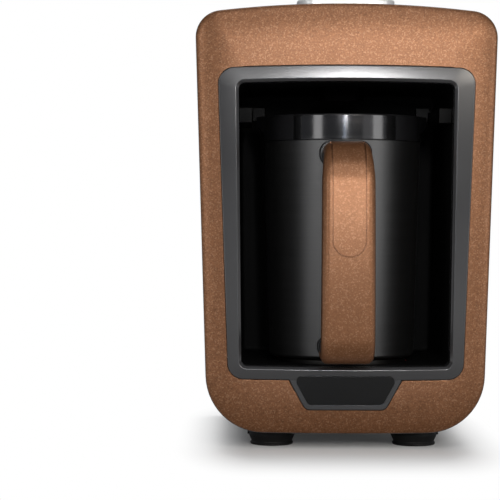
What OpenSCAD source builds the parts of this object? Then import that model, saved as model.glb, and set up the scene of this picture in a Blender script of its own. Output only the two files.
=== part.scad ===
// Electric coffee maker for Turkish coffee: a pot that slides into an open bay on a concealed hot plate.
// Millimetres. X is the width, Z is up, and the front of the machine faces -Y.
// Pieces are drawn with y = depth behind the front plane, and in_place() moves them to the shared frame.

/* [Pot] */
// Outer radius of the pot at its shoulder
pot_r = 41; // [37:0.5:44]
// How much narrower the pot's radius is at its foot
pot_taper = 3; // [1:0.5:5]
// Height of the whole pot, base to rim
pot_h = 125.2; // [110:1:140]
// Height of the collar round the pot's mouth
collar_h = 13; // [10:0.5:16]
// Thickness of the pot's steel wall
pot_wall = 1; // [0.6:0.1:1.6]
// Thickness of the heat-spreading disc under the pot
pot_disc_t = 2.2; // [1.5:0.1:4]
// How far each pouring spout reaches past the shoulder
spout_reach = 4; // [3:0.5:6]
// Half of the angle that each polished band covers
band_angle = 39; // [25:1:50]

/* [Handle] */
// Width of the grip at its foot
grip_w = 26.4; // [22:0.2:30]
// Width of the handle's top arm
arm_w = 21.6; // [20:0.2:26]
// Thickness of the whole grip, front to back
grip_t = 11; // [9:0.5:13]
// Distance from the pot's shoulder to the middle of the grip
grip_reach = 33.2; // [30:0.2:40]
// Radius of the grip's long outward curve
grip_bow = 420; // [300:10:700]
// Radius of the bend at the top of the handle
grip_bend_top = 16; // [12:0.5:20]
// Radius of the bend at the foot of the handle
grip_bend_low = 9; // [7:0.5:12]
// Height of the handle's top arm below the shoulder
arm_drop = 7.2; // [6:0.2:12]
// Height of the handle's lower arm above the pot's base
arm_rise = 6; // [5.6:0.2:14]
// Height of the handle's lower pad and rivet above the pot's base
root_rise = 7.2; // [6.8:0.2:14]
// Width of the tongue let into the grip
tongue_w = 15.4; // [10:0.2:18]
// Length of the grip left free between its lower bend and the tongue
tongue_clear = 39; // [25:1:60]

/* [Bay] */
// Air between the front of the pot and the front plane
pot_setback = 9; // [6:0.5:14]
// Air between the back of the pot and the bay's rear wall
bay_rear_gap = 9; // [5:0.5:15]
// Air between a spout and the side of the bay's mouth
bay_side_gap = 7.1; // [5:0.1:9]
// How much wider each side of the bay's mouth is at its top
bay_flare = 1.8; // [0:0.1:4]
// Air between the pot's rim and the bay's ceiling
bay_head_gap = 15.6; // [13:0.2:25]
// Radius of the corners of the bay's mouth
bay_corner = 3; // [2:0.5:8]
// Running gap between a guide rail and a spout
guide_gap = 2; // [1:0.1:3]
// Height of a guide rail
guide_h = 8; // [5:0.5:11]
// How far the hot plate stands above the bay's floor
plate_rise = 2.2; // [1.5:0.1:4]
// How much narrower the hot plate's radius is than the pot's foot
plate_margin = 4; // [2:0.5:8]

/* [Front] */
// Width of the bezel beside the top of the bay
rim_side_top = 10.5; // [8:0.1:13]
// Width of the bezel beside the bottom of the bay
rim_side_low = 6.6; // [5:0.1:9]
// Height of the bezel above the bay
rim_top = 7.7; // [6:0.1:10]
// Height of the bezel below the bay
rim_low = 6.5; // [5:0.1:9]
// Width of the coloured frame beside the top of the bezel
band_side_top = 10.7; // [9:0.1:16]
// Width of the coloured frame beside the bottom of the bezel
band_side_low = 11.4; // [9.5:0.1:16]
// Height of the coloured frame above the bezel
band_top = 31.3; // [26:0.1:40]
// Height of the coloured frame below the bezel
band_low = 27.2; // [22:0.1:32]
// Width of the tab where it leaves the bezel
tab_top_w = 56.4; // [48:0.2:64]
// Width of the tab's lower edge
tab_low_w = 40; // [30:0.2:46]
// How far the tab drops below the bezel
tab_drop = 14.9; // [10:0.1:17]
// Radius of the bezel's outer corners
bezel_corner = 8; // [5:0.5:12]
// How far the bezel's outer edge stands proud of the front plane
bezel_edge = 1.35; // [1:0.05:1.6]
// How far the lip round the bay's mouth stands proud of the front plane
bezel_lip = 2.6; // [2:0.1:3.4]

/* [Body] */
// Radius of the body's top corners
top_corner = 13.5; // [9:0.5:18]
// Radius of the body's bottom corners
low_corner = 29.3; // [20:0.1:32]
// Radius of the arched top
top_crown = 550; // [400:10:900]
// Radius of the arched underside
low_crown = 2000; // [500:50:3000]
// Wall thickness of the moulded shells
wall = 2.4; // [1.8:0.1:3]
// Room behind the bay for the electronics
rear_room = 54; // [46:1:70]
// Radius of the rounded edge round the back
back_edge = 7; // [4:0.5:9]
// Depth of the back cover
back_cover_d = 16; // [12:1:22]
// Gap between a moulding and the one that it fits into
fit = 0.25; // [0.1:0.05:0.4]
// Radial gap between a screw and its hole
screw_fit = 0.06; // [0.04:0.01:0.1]

/* [Feet] */
// Clear height under the body
foot_h = 7.8; // [7.5:0.1:12]
// Radius of a suction foot
foot_r = 12.5; // [10:0.5:13]
// Half of the distance between the left and the right feet
foot_x = 36.5; // [30:0.5:37]
// Distance of the front feet behind the front plane
foot_front = 24; // [22:0.5:34]
// Distance of the rear feet in front of the back
foot_rear = 34; // [30:0.5:44]

/* [Controls] */
// Width of the control panel
panel_w = 49.4; // [44:0.2:60]
// Length of the control panel, front to back
panel_d = 58; // [46:1:70]
// Height of the control panel above the top of the body
panel_rise = 2.6; // [1.5:0.1:4]
// Distance of the control panel behind the front plane
panel_setback = 5; // [3:0.5:12]
// Radius of the start button
button_r = 10; // [8:0.25:12]
// Radial running gap round the start button
button_gap = 0.08; // [0.04:0.01:0.1]
// How far the start button travels
button_travel = 1.2; // [0.8:0.1:1.5]
// How far the start button stands above the panel
button_rise = 1.5; // [1.3:0.1:2.5]
// Width of the light ring round the button
ring_w = 2.2; // [1.5:0.1:3]

/* [Hidden] */

// Facets: points in each quarter bend of an outline, and of true circles
bend_n = 10;
$fn = 64;

// A cut runs past the face that it opens by this much
past = 1;

// Heights, from the surface that the machine stands on
body_low = foot_h;
bezel_low = body_low + band_low;
bay_low = bezel_low + rim_low;
pot_low = bay_low + plate_rise;
pot_top = pot_low + pot_h;
shoulder = pot_top - collar_h;
bay_top = pot_top + bay_head_gap;
bezel_top = bay_top + rim_top;
body_top = bezel_top + band_top;
panel_top = body_top + panel_rise;

// Half widths of the mouth, the bezel and the body, each at its own lowest and highest point
spout_x = pot_r + spout_reach;
bay_x_low = spout_x + bay_side_gap;
bay_x_top = bay_x_low + bay_flare;
bezel_x_low = bay_x_low + rim_side_low;
bezel_x_top = bay_x_top + rim_side_top;
frame_x_low = bezel_x_low + band_side_low;
frame_x_top = bezel_x_top + band_side_top;
body_lean = (frame_x_top - frame_x_low) / (bezel_top - bezel_low);
body_x_low = frame_x_low - body_lean * band_low;
body_x_top = frame_x_top + body_lean * band_top;

// Depths behind the front plane
pot_y = pot_setback + pot_r;
bay_back = pot_y + pot_r + bay_rear_gap;
body_back = bay_back + wall + rear_room;
housing_front = 1.6;
housing_back = body_back - back_cover_d;
frame_skirt = 7;
frame_plate = 1;
bezel_back = 3;
collar_back = 7;

// The front plane lies here in the shared frame, whose origin is under the middle of the whole object
handle_front = pot_y - pot_r - grip_reach - grip_t / 2;
gland_rise = 3;
front_y = -(body_back + gland_rise + handle_front) / 2;

// Crowns and small radii
bezel_crown = 1350;
flat_crown = 2600;
least_r = 0.6;
tab_r = 4;
tab_fillet = 2.5;

// Heater stack under the bay's floor
floor_t = 2;
plate_flange = 3.4;
seal_t = 0.8;
plate_r = pot_r - pot_taper - plate_margin;
flange_t = 1.6;
flange_low = bay_low - floor_t - seal_t - flange_t;
element_h = 6;
element_w = 7;
shield_low = body_low + 13.2;
shield_t = 0.8;
plate_seat_r = plate_r + 0.8;

// Base plate in its opening
base_ledge = body_low + 3.4;
base_x = 45;
base_front = 13;
base_back = housing_back - 5;
ledge_w = 2.6;
ledge_t = 2.6;

// Control panel and button
pocket = body_top - 1.1;
panel_y = panel_setback + panel_d / 2;
button_y = panel_setback + panel_d * 0.52;
button_top = panel_top + button_rise;
flange_r = button_r + 1.1;
flange_top = panel_top - 2.6;
button_flange_t = 1.4;
board_top = body_top - 12.4;
board_t = 1.6;
switch_h = 5;
spring_r = 6.2;
spring_wire = 0.35;
spring_turns = 5;
button_roof = 2.2;
barrel_wall = 1.6;

// Screws
pan_r = 2.8;
pan_h = 1.8;
shank_r = 1.4;
boss_r = 3.6;

// ---------------------------------------------------------------- outlines

function arc(c, r, from, to, n) = [
    for (i = [0:n])
        let (a = from + (to - from) * i / n)
        [c[0] + r * cos(a), c[1] + r * sin(a)]
];

function but_last(list) = [for (i = [0:len(list) - 2]) list[i]];

// Outline of a shape with straight leaning sides, an arched top and underside and round corners, counter-
// clockwise from the front. x_low and x_top are half widths at z_low and z_top. A positive inset shrinks it.
function crowned(x_low, x_top, z_low, z_top, r_low, r_top, crown_low, crown_top, inset = 0) =
    let (
        lean = atan((x_top - x_low) / (z_top - z_low)),
        side = (x_low - z_low * tan(lean)) * cos(lean) - inset,
        rl = max(r_low - inset, least_r),
        rt = max(r_top - inset, least_r),
        low_c = z_low + crown_low,
        top_c = z_top - crown_top,
        low_e = side - rl + low_c * sin(lean),
        top_e = side - rt + top_c * sin(lean),
        low_h = sqrt(pow(crown_low - inset - rl, 2) - low_e * low_e),
        top_h = sqrt(pow(crown_top - inset - rt, 2) - top_e * top_e),
        lc = [low_e * cos(lean) - low_h * sin(lean), low_c - low_e * sin(lean) - low_h * cos(lean)],
        tc = [top_e * cos(lean) + top_h * sin(lean), top_c - top_e * sin(lean) + top_h * cos(lean)],
        low_a = atan2(lc[1] - low_c, lc[0]),
        top_a = atan2(tc[1] - top_c, tc[0])
    )
    concat(
        but_last(arc([0, low_c], crown_low - inset, -180 - low_a, low_a, bend_n)),
        arc(lc, rl, low_a, -lean, bend_n),
        but_last(arc(tc, rt, -lean, top_a, bend_n)),
        but_last(arc([0, top_c], crown_top - inset, top_a, 180 - top_a, bend_n)),
        arc([-tc[0], tc[1]], rt, 180 - top_a, 180 + lean, bend_n),
        but_last(arc([-lc[0], lc[1]], rl, 180 + lean, 180 - low_a, bend_n))
    );

function body_line(inset = 0) = crowned(
    body_x_low, body_x_top, body_low, body_top, low_corner, top_corner, low_crown, top_crown, inset
);

function bezel_line(inset = 0) = crowned(
    bezel_x_low, bezel_x_top, bezel_low, bezel_top, bezel_corner, bezel_corner, flat_crown, bezel_crown, inset
);

function mouth_line(grow = 0) = crowned(
    bay_x_low, bay_x_top, bay_low, bay_top, bay_corner, bay_corner, flat_crown, bezel_crown, -grow
);

function at_depth(line, y) = [for (p = line) [p[0], y, p[1]]];

// Half width of the body at a height
function body_x(z) = body_x_low + body_lean * (z - body_low);

// ---------------------------------------------------------------- solids from outlines

// Skin over rings of equal length, from front to back, closed by a cap at each end
module skin(rings) {
    n = len(rings[0]);
    last = len(rings) - 1;
    sides = [
        for (j = [0:last - 1], i = [0:n - 1])
            [j * n + i, j * n + (i + 1) % n, (j + 1) * n + (i + 1) % n, (j + 1) * n + i]
    ];
    front = [[for (i = [n - 1:-1:0]) i]];
    back = [[for (i = [0:n - 1]) last * n + i]];
    polyhedron([for (r = rings) each r], concat(sides, front, back));
}

// Skin over rings that come back to the first one, as round a frame
module skin_loop(rings) {
    n = len(rings[0]);
    m = len(rings);
    sides = [
        for (j = [0:m - 1], i = [0:n - 1])
            let (k = (j + 1) % m, l = (i + 1) % n)
            [j * n + i, j * n + l, k * n + l, k * n + i]
    ];
    polyhedron([for (r = rings) each r], sides);
}

// A flat shape drawn in X and Z, made solid between two depths
module slab(y0, y1) {
    translate([0, y1, 0])
        rotate([90, 0, 0])
            linear_extrude(y1 - y0)
                children();
}

module in_place() {
    translate([0, front_y, 0])
        children();
}

// A round bar along Y
module bar_y(r, x, z, y0, y1) {
    translate([x, y1, z])
        rotate([90, 0, 0])
            cylinder(h = y1 - y0, r = r);
}

// A round post along Z
module post(r, x, y, z0, z1) {
    translate([x, y, z0])
        cylinder(h = z1 - z0, r = r);
}

// A box given by its two corners
module block(x0, x1, y0, y1, z0, z1) {
    translate([x0, y0, z0])
        cube([x1 - x0, y1 - y0, z1 - z0]);
}

module both_sides() {
    children();
    mirror([1, 0, 0])
        children();
}

// A slot with round ends, standing along Z in the X-Z plane
module slot_2d(x, z, w, h) {
    translate([x - w / 2, z - h / 2 + w / 2])
        square([w, h - w]);
    translate([x, z - h / 2 + w / 2])
        circle(r = w / 2);
    translate([x, z + h / 2 - w / 2])
        circle(r = w / 2);
}

// A rectangle with round corners
module round_rect(w, h, r) {
    for (sx = [-1, 1], sy = [-1, 1])
        translate([sx * (w / 2 - r), sy * (h / 2 - r)])
            circle(r = r);
    square([w - 2 * r, h], center = true);
    square([w, h - 2 * r], center = true);
}

// The trapezoid tab under the bezel, with its top edge at the given height
module tab_2d(top_z) {
    polygon([
        [-tab_top_w / 2, top_z],
        [-tab_low_w / 2, bezel_low - tab_drop],
        [tab_low_w / 2, bezel_low - tab_drop],
        [tab_top_w / 2, top_z]
    ]);
}

// The bezel's outer outline with its tab: corners rounded, inner corners filleted
module bezel_2d(grow = 0) {
    offset(r = grow - tab_fillet, $fn = 48)
        offset(delta = tab_fillet)
            union() {
                polygon(bezel_line());
                offset(r = tab_r, $fn = 48)
                    offset(delta = -tab_r)
                        union() {
                            tab_2d(bezel_low);
                            translate([-tab_top_w / 2, bezel_low - past / 4])
                                square([tab_top_w, tab_r * 2]);
                        }
            }
}

// ---------------------------------------------------------------- shells

back_boss_x = 12;
back_boss_z = [body_low + 26, body_top - 20];
back_boss_d = 34;
base_screw_x = base_x - 8;
base_screw_y = [foot_front + foot_r + 7, body_back - foot_rear - foot_r - 7];
panel_hole_r = flange_r + barrel_wall + 1;
board_boss_x = 24;
board_boss_y = [button_y - 20, button_y + 20];
panel_boss_x = 16;
panel_screw_seat = body_top - wall - 1;
panel_boss_y = [panel_y - panel_d / 2 + 7, panel_y + panel_d / 2 - 7];

module back_boss_places() {
    for (z = back_boss_z, s = [-1, 1])
        translate([s * (body_x(z) - back_boss_x), 0, z])
            children();
}

module base_screw_places() {
    for (s = [-1, 1], y = base_screw_y)
        translate([s * base_screw_x, y, 0])
            children();
}

module board_screw_places() {
    for (s = [-1, 1], y = board_boss_y)
        translate([s * board_boss_x, y, 0])
            children();
}

module panel_screw_places() {
    for (s = [-1, 1], y = panel_boss_y)
        translate([s * panel_boss_x, y, 0])
            children();
}

// Sleeve round the top, sides and underside, with ledges and bosses for what it carries
module housing() {
    color([0.06, 0.06, 0.065])
    in_place()
    difference() {
        union() {
            difference() {
                slab(housing_front, housing_back)
                    polygon(body_line());
                slab(housing_front - past, housing_back + past)
                    polygon(body_line(wall));
                block(
                    -base_x + ledge_w, base_x - ledge_w, base_front + ledge_w, base_back - ledge_w,
                    body_low - past, base_ledge + wall
                );
            }
            intersection() {
                slab(housing_front, housing_back)
                    polygon(body_line(wall / 2));
                union() {
                    // Ledge that the base plate comes up against
                    difference() {
                        block(
                            -base_x - ledge_w, base_x + ledge_w, base_front - ledge_w, base_back + ledge_w,
                            body_low, base_ledge + ledge_t
                        );
                        block(
                            -base_x + ledge_w, base_x - ledge_w, base_front + ledge_w, base_back - ledge_w,
                            body_low - past, base_ledge + ledge_t + past
                        );
                    }
                    base_screw_places()
                        post(boss_r, 0, 0, base_ledge, base_ledge + 8);
                    for (s = [-1, 1], y = base_screw_y)
                        block(
                            min(s * base_screw_x, s * (base_x + ledge_w)),
                            max(s * base_screw_x, s * (base_x + ledge_w)),
                            y - 1, y + 1, base_ledge, base_ledge + 6
                        );
                    // Bosses for the back cover, each with a web to the side wall
                    back_boss_places()
                        bar_y(boss_r, 0, 0, housing_back - back_boss_d, housing_back);
                    for (z = back_boss_z, s = [-1, 1])
                        block(
                            min(s * (body_x(z) - back_boss_x), s * (body_x(z) + wall)),
                            max(s * (body_x(z) - back_boss_x), s * (body_x(z) + wall)),
                            housing_back - back_boss_d, housing_back, z - 1, z + 1
                        );
                    // Bosses under the top for the control board and for the panel's screws
                    board_screw_places()
                        post(boss_r, 0, 0, board_top, body_top);
                    panel_screw_places()
                        post(boss_r, 0, 0, panel_screw_seat, body_top);
                }
            }
        }
        // Opening for the base plate
        block(-base_x, base_x, base_front, base_back, body_low - past, base_ledge);
        // Seat for the control panel, the hole for its barrel and its screw holes
        translate([0, panel_y, pocket])
            linear_extrude(body_top)
                round_rect(panel_w + 2 * fit, panel_d + 2 * fit, panel_w / 6 + fit);
        post(panel_hole_r, 0, button_y, pocket - 2 * wall, body_top);
        panel_screw_places()
            post(shank_r + screw_fit, 0, 0, pocket - 2 * wall, body_top);
        base_screw_places()
            post(shank_r + screw_fit, 0, 0, body_low, base_ledge + 7);
        back_boss_places()
            bar_y(shank_r + screw_fit, 0, 0, housing_back - 12, housing_back + past);
        board_screw_places()
            post(shank_r + screw_fit, 0, 0, board_top - past, board_top + 7);
    }
}

vent_n = 7;
vent_w = 2.4;
vent_h = 24;
vent_pitch = 6.4;
gland_x = -34;
gland_z = body_low + 24;
gland_r = 7.2;

// Dished rear cover with air vents, screw recesses and the hole for the cord bushing
module back_cover() {
    edge_n = 5;
    color([0.06, 0.06, 0.065])
    in_place()
    difference() {
        union() {
            skin(concat(
                [
                    at_depth(body_line(back_edge + wall), body_back - wall),
                    at_depth(body_line(wall + back_edge * 0.3), body_back - wall - back_edge * 0.3),
                    at_depth(body_line(wall), body_back - wall - back_edge),
                    at_depth(body_line(wall), housing_back),
                    at_depth(body_line(0), housing_back)
                ],
                [
                    for (i = [0:edge_n])
                        let (a = 90 * i / edge_n)
                        at_depth(body_line(back_edge * (1 - cos(a))), body_back - back_edge * (1 - sin(a)))
                ]
            ));
            // Screw pillars, which meet the housing's bosses
            back_boss_places()
                bar_y(boss_r + 0.6, 0, 0, housing_back, body_back - wall / 2);
        }
        for (i = [0:vent_n - 1], z = [body_top - 62, body_top - 92])
            slab(body_back - wall - past, body_back + past)
                slot_2d((i - (vent_n - 1) / 2) * vent_pitch, z, vent_w, vent_h);
        back_boss_places()
            bar_y(shank_r + screw_fit, 0, 0, housing_back - past, body_back + past);
        back_boss_places()
            bar_y(pan_r + fit, 0, 0, body_back - 8, body_back + past);
        bar_y(gland_r, gland_x, gland_z, body_back - wall - past, body_back + past);
    }
}

foot_y = [foot_front, body_back - foot_rear];
foot_neck = 3.6;
base_vent_n = 6;
rib_x = 5;

module foot_places() {
    for (s = [-1, 1], y = foot_y)
        translate([s * foot_x, y, 0])
            children();
}

// Plate that closes the underside and carries the feet and the heat shield
module base_plate() {
    color([0.07, 0.07, 0.07])
    in_place()
    difference() {
        union() {
            block(
                -base_x + fit, base_x - fit, base_front + fit, base_back - fit, body_low, base_ledge
            );
            // Stiffening ribs along the plate, and the posts under the heat shield
            for (s = [-1, 1])
                block(
                    s * rib_x - 1, s * rib_x + 1, base_front + 2 * ledge_w, base_back - 2 * ledge_w,
                    base_ledge, base_ledge + 3
                );
            shield_post_places()
                post(boss_r, 0, 0, base_ledge, shield_low);
        }
        foot_places()
            post(foot_neck, 0, 0, body_low - past, base_ledge + past);
        base_screw_places()
            post(shank_r + screw_fit, 0, 0, body_low - past, base_ledge + past);
        base_screw_places()
            post(pan_r + fit, 0, 0, body_low - past, body_low + pan_h);
        for (i = [0:base_vent_n - 1])
            translate([0, base_back - 22 - i * vent_pitch, body_low - past])
                linear_extrude(base_ledge - body_low + 2 * past)
                    round_rect(18, vent_w, vent_w / 2 - 0.01);
        shield_post_places()
            post(shank_r + screw_fit, 0, 0, shield_low - 8, shield_low + past);
    }
}

// Dished, gently domed frame round the front, open in the middle for the bezel
module front_frame() {
    color([0.60, 0.38, 0.25])
    in_place()
    difference() {
        skin([
            at_depth(body_line(14), -1.5),
            at_depth(body_line(9), -1.35),
            at_depth(body_line(5.5), -0.95),
            at_depth(body_line(3), -0.3),
            at_depth(body_line(1.4), 0.45),
            at_depth(body_line(0.7), 1.1),
            at_depth(body_line(0.5), housing_front),
            at_depth(body_line(wall + fit), housing_front),
            at_depth(body_line(wall + fit), frame_skirt),
            at_depth(body_line(2 * wall), frame_skirt),
            at_depth(body_line(2 * wall), frame_plate + 1.2),
            at_depth(body_line(2 * wall + 1.2), frame_plate),
            at_depth(body_line(14), frame_plate)
        ]);
        slab(-2 * past - wall, frame_skirt + past)
            bezel_2d(fit);
    }
}

bezel_flange = 3;
badge_margin = 2.4;
badge_rise = 2.3;
badge_seat = bezel_edge - 0.5;
badge_front = bezel_edge + 0.3;

module badge_2d(grow = 0) {
    offset(r = grow + 3, $fn = 40)
        offset(delta = -badge_margin - 3)
            tab_2d(bezel_low + badge_rise + badge_margin);
}

// Ring round the bay, crowned across its width, with the tab at its foot and a short collar into the bay
module bezel() {
    color([0.2, 0.2, 0.2])
    in_place()
    difference() {
        union() {
            skin_loop([
                at_depth(bezel_line(0.4), -bezel_edge),
                at_depth(bezel_line(0), 0.4 - bezel_edge),
                at_depth(bezel_line(0), bezel_back),
                at_depth(mouth_line(1.6), bezel_back),
                at_depth(mouth_line(1.6), collar_back),
                at_depth(mouth_line(0), collar_back),
                at_depth(mouth_line(0), 1.6 - bezel_lip),
                at_depth(mouth_line(0.4), 0.4 - bezel_lip),
                at_depth(mouth_line(1.1), -bezel_lip),
                at_depth(mouth_line(1.8), -bezel_lip)
            ]);
            difference() {
                slab(-bezel_edge, bezel_back)
                    bezel_2d();
                slab(-bezel_edge - past, bezel_back + past)
                    polygon(bezel_line(2));
            }
            // Flange behind the frame
            difference() {
                slab(frame_plate, bezel_back)
                    bezel_2d(bezel_flange);
                slab(frame_plate - past, bezel_back + past)
                    polygon(bezel_line(2));
            }
        }
        slab(-2 * bezel_lip, -badge_seat)
            badge_2d(fit / 2);
    }
}

// Plate let into the tab, left plain
module badge_panel() {
    color([0.1, 0.1, 0.1])
    in_place()
    slab(-badge_front, -badge_seat)
        badge_2d(-fit / 2);
}

// ---------------------------------------------------------------- bay

liner_gap = 0.3;
liner_wall = 1.8;
standoff = 9;
power_board_rise = 22;
power_board_h = 100;
power_board_z = [bay_low + power_board_rise, bay_low + power_board_rise + power_board_h];
power_board_x = 34;
board_hole_inset = 5;
window_w = 24;
window_d = 12;
window_drop = 7.2;
window_y = pot_y;
window_seat = bay_top + 4.2;

module power_board_places() {
    for (s = [-1, 1], z = [power_board_z[0] + board_hole_inset, power_board_z[1] - board_hole_inset])
        translate([s * (power_board_x - board_hole_inset), 0, z])
            children();
}

// Straight-walled bay, closed at the back, with the hot plate's seat in its floor
module bay_liner() {
    outer = liner_gap + liner_wall;
    color([0.03, 0.03, 0.03])
    in_place()
    difference() {
        union() {
            slab(collar_back, bay_back + wall)
                polygon(mouth_line(outer));
            // Pad for the sensor's lens
            translate([0, window_y, bay_top])
                linear_extrude(window_seat - bay_top)
                    round_rect(window_w + 8, window_d + 8, 4);
        }
        slab(collar_back - past, bay_back)
            polygon(mouth_line(liner_gap));
        post(plate_seat_r, 0, pot_y, bay_low - floor_t - 2 * past, bay_low + past);
        translate([0, window_y, bay_top - 2 * past])
            linear_extrude(window_seat - bay_top + 4 * past)
                round_rect(window_w + 2 * fit, window_d + 2 * fit, window_d / 2 - fit);
        // Flat underside round the plate's seat, for the seal
        post(
            plate_r + plate_flange + 3, 0, pot_y, bay_low - 2 * floor_t - liner_gap - liner_wall,
            bay_low - floor_t
        );
    }
}

guide_front = 10;
guide_back = pot_y + 16;
guide_top = shoulder + collar_h + 3;
stop_w = 7;
stop_d = 4;
guide_x = spout_x + guide_gap;

// Rails on the side walls that steer the spouts, each with an end stop
module pot_guides() {
    color([0.05, 0.05, 0.05])
    in_place()
    both_sides() {
        intersection() {
            slab(guide_front, guide_back)
                polygon(mouth_line(liner_gap));
            block(guide_x, bay_x_top + 2 * wall, guide_front, guide_back, guide_top - guide_h, guide_top);
        }
        block(
            guide_x - stop_w, guide_x + past, guide_back - stop_d, guide_back,
            guide_top - guide_h + 3, guide_top + 3
        );
    }
}

// Oval lens in the ceiling of the bay
module sensor_window() {
    color([0.12, 0.1, 0.1])
    in_place()
    translate([0, window_y, 0]) {
        translate([0, 0, bay_top - window_drop])
            linear_extrude(window_drop + window_seat - bay_top)
                round_rect(window_w, window_d, window_d / 2 - fit);
        translate([0, 0, window_seat])
            linear_extrude(1.6)
                round_rect(window_w + 5, window_d + 5, 4);
    }
}

// Small board over the lens, with the emitter and the receiver that watch the foam
module overflow_sensor() {
    low = window_seat + 1.6;
    color([0.1, 0.35, 0.2])
    in_place() {
        difference() {
            translate([0, window_y, low])
                linear_extrude(board_t)
                    round_rect(window_w + 12, window_d + 8, 1);
            for (s = [-1, 1])
                post(2.5, s * 6, window_y, low - past, low + board_t + past);
        }
        for (s = [-1, 1])
            post(2.5, s * 6, window_y, low, low + 5);
    }
}

// ---------------------------------------------------------------- controls

// Raised panel let into the top, with a barrel below it that guides the button
module control_panel() {
    corner = panel_w / 6;
    soft = 1.2;
    soft_n = 4;
    color([0.82, 0.82, 0.83])
    in_place()
    difference() {
        union() {
            translate([0, panel_y, pocket])
                linear_extrude(panel_top - pocket - soft)
                    round_rect(panel_w, panel_d, corner);
            // Rounded upper edge, in steps of a quarter round
            for (i = [1:soft_n])
                let (top = soft * sin(90 * i / soft_n), in = soft * (1 - cos(90 * (i - 0.5) / soft_n)))
                translate([0, panel_y, pocket])
                    linear_extrude(panel_top - pocket - soft + top)
                        round_rect(panel_w - 2 * in, panel_d - 2 * in, corner - in);
            post(flange_r + barrel_wall, 0, button_y, flange_top - 5, pocket + past);
        }
        // Seat of the light ring, the button's way through and the wider barrel for its flange
        post(button_r + button_gap + ring_w, 0, button_y, flange_top, panel_top + past);
        post(flange_r + 2 * button_gap, 0, button_y, flange_top - 5 - past, flange_top);
        panel_screw_places()
            post(shank_r + screw_fit, 0, 0, pocket - past, panel_top - 1.4);
    }
}

// Translucent ring that lights up round the button
module button_ring() {
    color([0.95, 0.95, 0.92])
    in_place()
    translate([0, button_y, 0])
        rotate_extrude()
            polygon([
                [button_r + button_gap, flange_top],
                [button_r + button_gap + ring_w, flange_top],
                [button_r + button_gap + ring_w, panel_top - 0.2],
                [button_r + button_gap + ring_w - 0.4, panel_top + 0.2],
                [button_r + button_gap + 0.4, panel_top + 0.2],
                [button_r + button_gap, panel_top - 0.2]
            ]);
}

// Cap with a dished top, a flange that keeps it in the barrel and a stem over the switch
module brew_button() {
    edge = 0.8;
    dish = 0.5;
    skirt = 1.4;
    stem_r = 2;
    roof = button_top - button_roof - dish;
    color([0.75, 0.75, 0.76])
    in_place()
    translate([0, button_y, 0])
        rotate_extrude()
            polygon(concat(
                [
                    [0, board_top + switch_h + button_travel + 0.1],
                    [stem_r, board_top + switch_h + button_travel + 0.1],
                    [stem_r, roof],
                    [button_r - skirt, roof],
                    [button_r - skirt, flange_top - button_flange_t],
                    [flange_r, flange_top - button_flange_t],
                    [flange_r, flange_top],
                    [button_r, flange_top]
                ],
                arc([button_r - edge, button_top - edge], edge, 0, 90, 6),
                [for (i = [0:6]) [(button_r - 2 * edge) * (1 - i / 6), button_top - dish * (1 - pow(1 - i / 6, 2))]]
            ));
}

// Wire spring between the board and the button's roof
module button_spring() {
    ring_n = 6;
    step_n = 14;
    low = board_top + spring_wire;
    high = button_top - button_roof - 0.5 - spring_wire;
    steps = spring_turns * step_n;
    rings = [
        for (j = [0:steps])
            let (t = j / steps, a = -360 * spring_turns * t)
            [
                for (i = [0:ring_n - 1])
                    let (b = 360 * i / ring_n)
                    [
                        (spring_r + spring_wire * cos(b)) * cos(a),
                        (spring_r + spring_wire * cos(b)) * sin(a),
                        low + (high - low) * t + spring_wire * sin(b)
                    ]
            ]
    ];
    color([0.7, 0.7, 0.72])
    in_place()
    translate([0, button_y, 0])
        skin(rings);
}

board_w = 60;
board_d = 52;

// Board under the control panel, screwed to the housing's bosses
module control_board() {
    color([0.1, 0.35, 0.2])
    in_place()
    difference() {
        translate([0, button_y, board_top - board_t])
            linear_extrude(board_t)
                round_rect(board_w, board_d, 2);
        board_screw_places()
            post(shank_r + screw_fit, 0, 0, board_top - board_t - past, board_top + past);
    }
}

// Push switch on the board, under the button's stem
module button_switch() {
    half = 3;
    plunger_r = 1.7;
    color([0.15, 0.15, 0.15])
    in_place() {
        block(-half, half, button_y - half, button_y + half, board_top, board_top + switch_h - 1.5);
        post(plunger_r, 0, button_y, board_top + switch_h - 1.5, board_top + switch_h);
    }
}

// Lamps that light the ring from below
module ring_leds() {
    led_r = 2;
    led_ring = flange_r + barrel_wall + led_r + 0.6;
    color([0.9, 0.9, 0.8])
    in_place()
    translate([0, button_y, 0])
        for (a = [45:90:315])
            rotate([0, 0, a])
                post(led_r, led_ring, 0, board_top, board_top + 3);
}

// Sounder that calls when the coffee is ready
module buzzer() {
    color([0.08, 0.08, 0.08])
    in_place()
    difference() {
        post(5, 0, button_y + 18.5, board_top, board_top + 4.5);
        post(1, 0, button_y + 18.5, board_top + 3, board_top + 5);
    }
}

// ---------------------------------------------------------------- heater

// Steel-faced plate that carries the pot, with a flange below the floor
module hot_plate() {
    edge = 0.8;
    color([0.25, 0.25, 0.26])
    in_place()
    translate([0, pot_y, 0])
        rotate_extrude()
            polygon([
                [0, flange_low],
                [plate_r + plate_flange, flange_low],
                [plate_r + plate_flange, flange_low + flange_t],
                [plate_r, flange_low + flange_t],
                [plate_r, pot_low - edge],
                [plate_r - edge, pot_low],
                [0, pot_low]
            ]);
}

// Silicone ring between the plate's flange and the floor, with a lip up into the gap
module plate_seal() {
    color([0.5, 0.1, 0.08])
    in_place()
    translate([0, pot_y, 0])
        rotate_extrude()
            polygon([
                [plate_r + fit / 2, flange_low + flange_t],
                [plate_r + plate_flange - 0.4, flange_low + flange_t],
                [plate_r + plate_flange - 0.4, bay_low - floor_t],
                [plate_seat_r - fit / 2, bay_low - floor_t],
                [plate_seat_r - fit / 2, bay_low - 0.4],
                [plate_r + fit / 2, bay_low - 0.4]
            ]);
}

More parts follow.
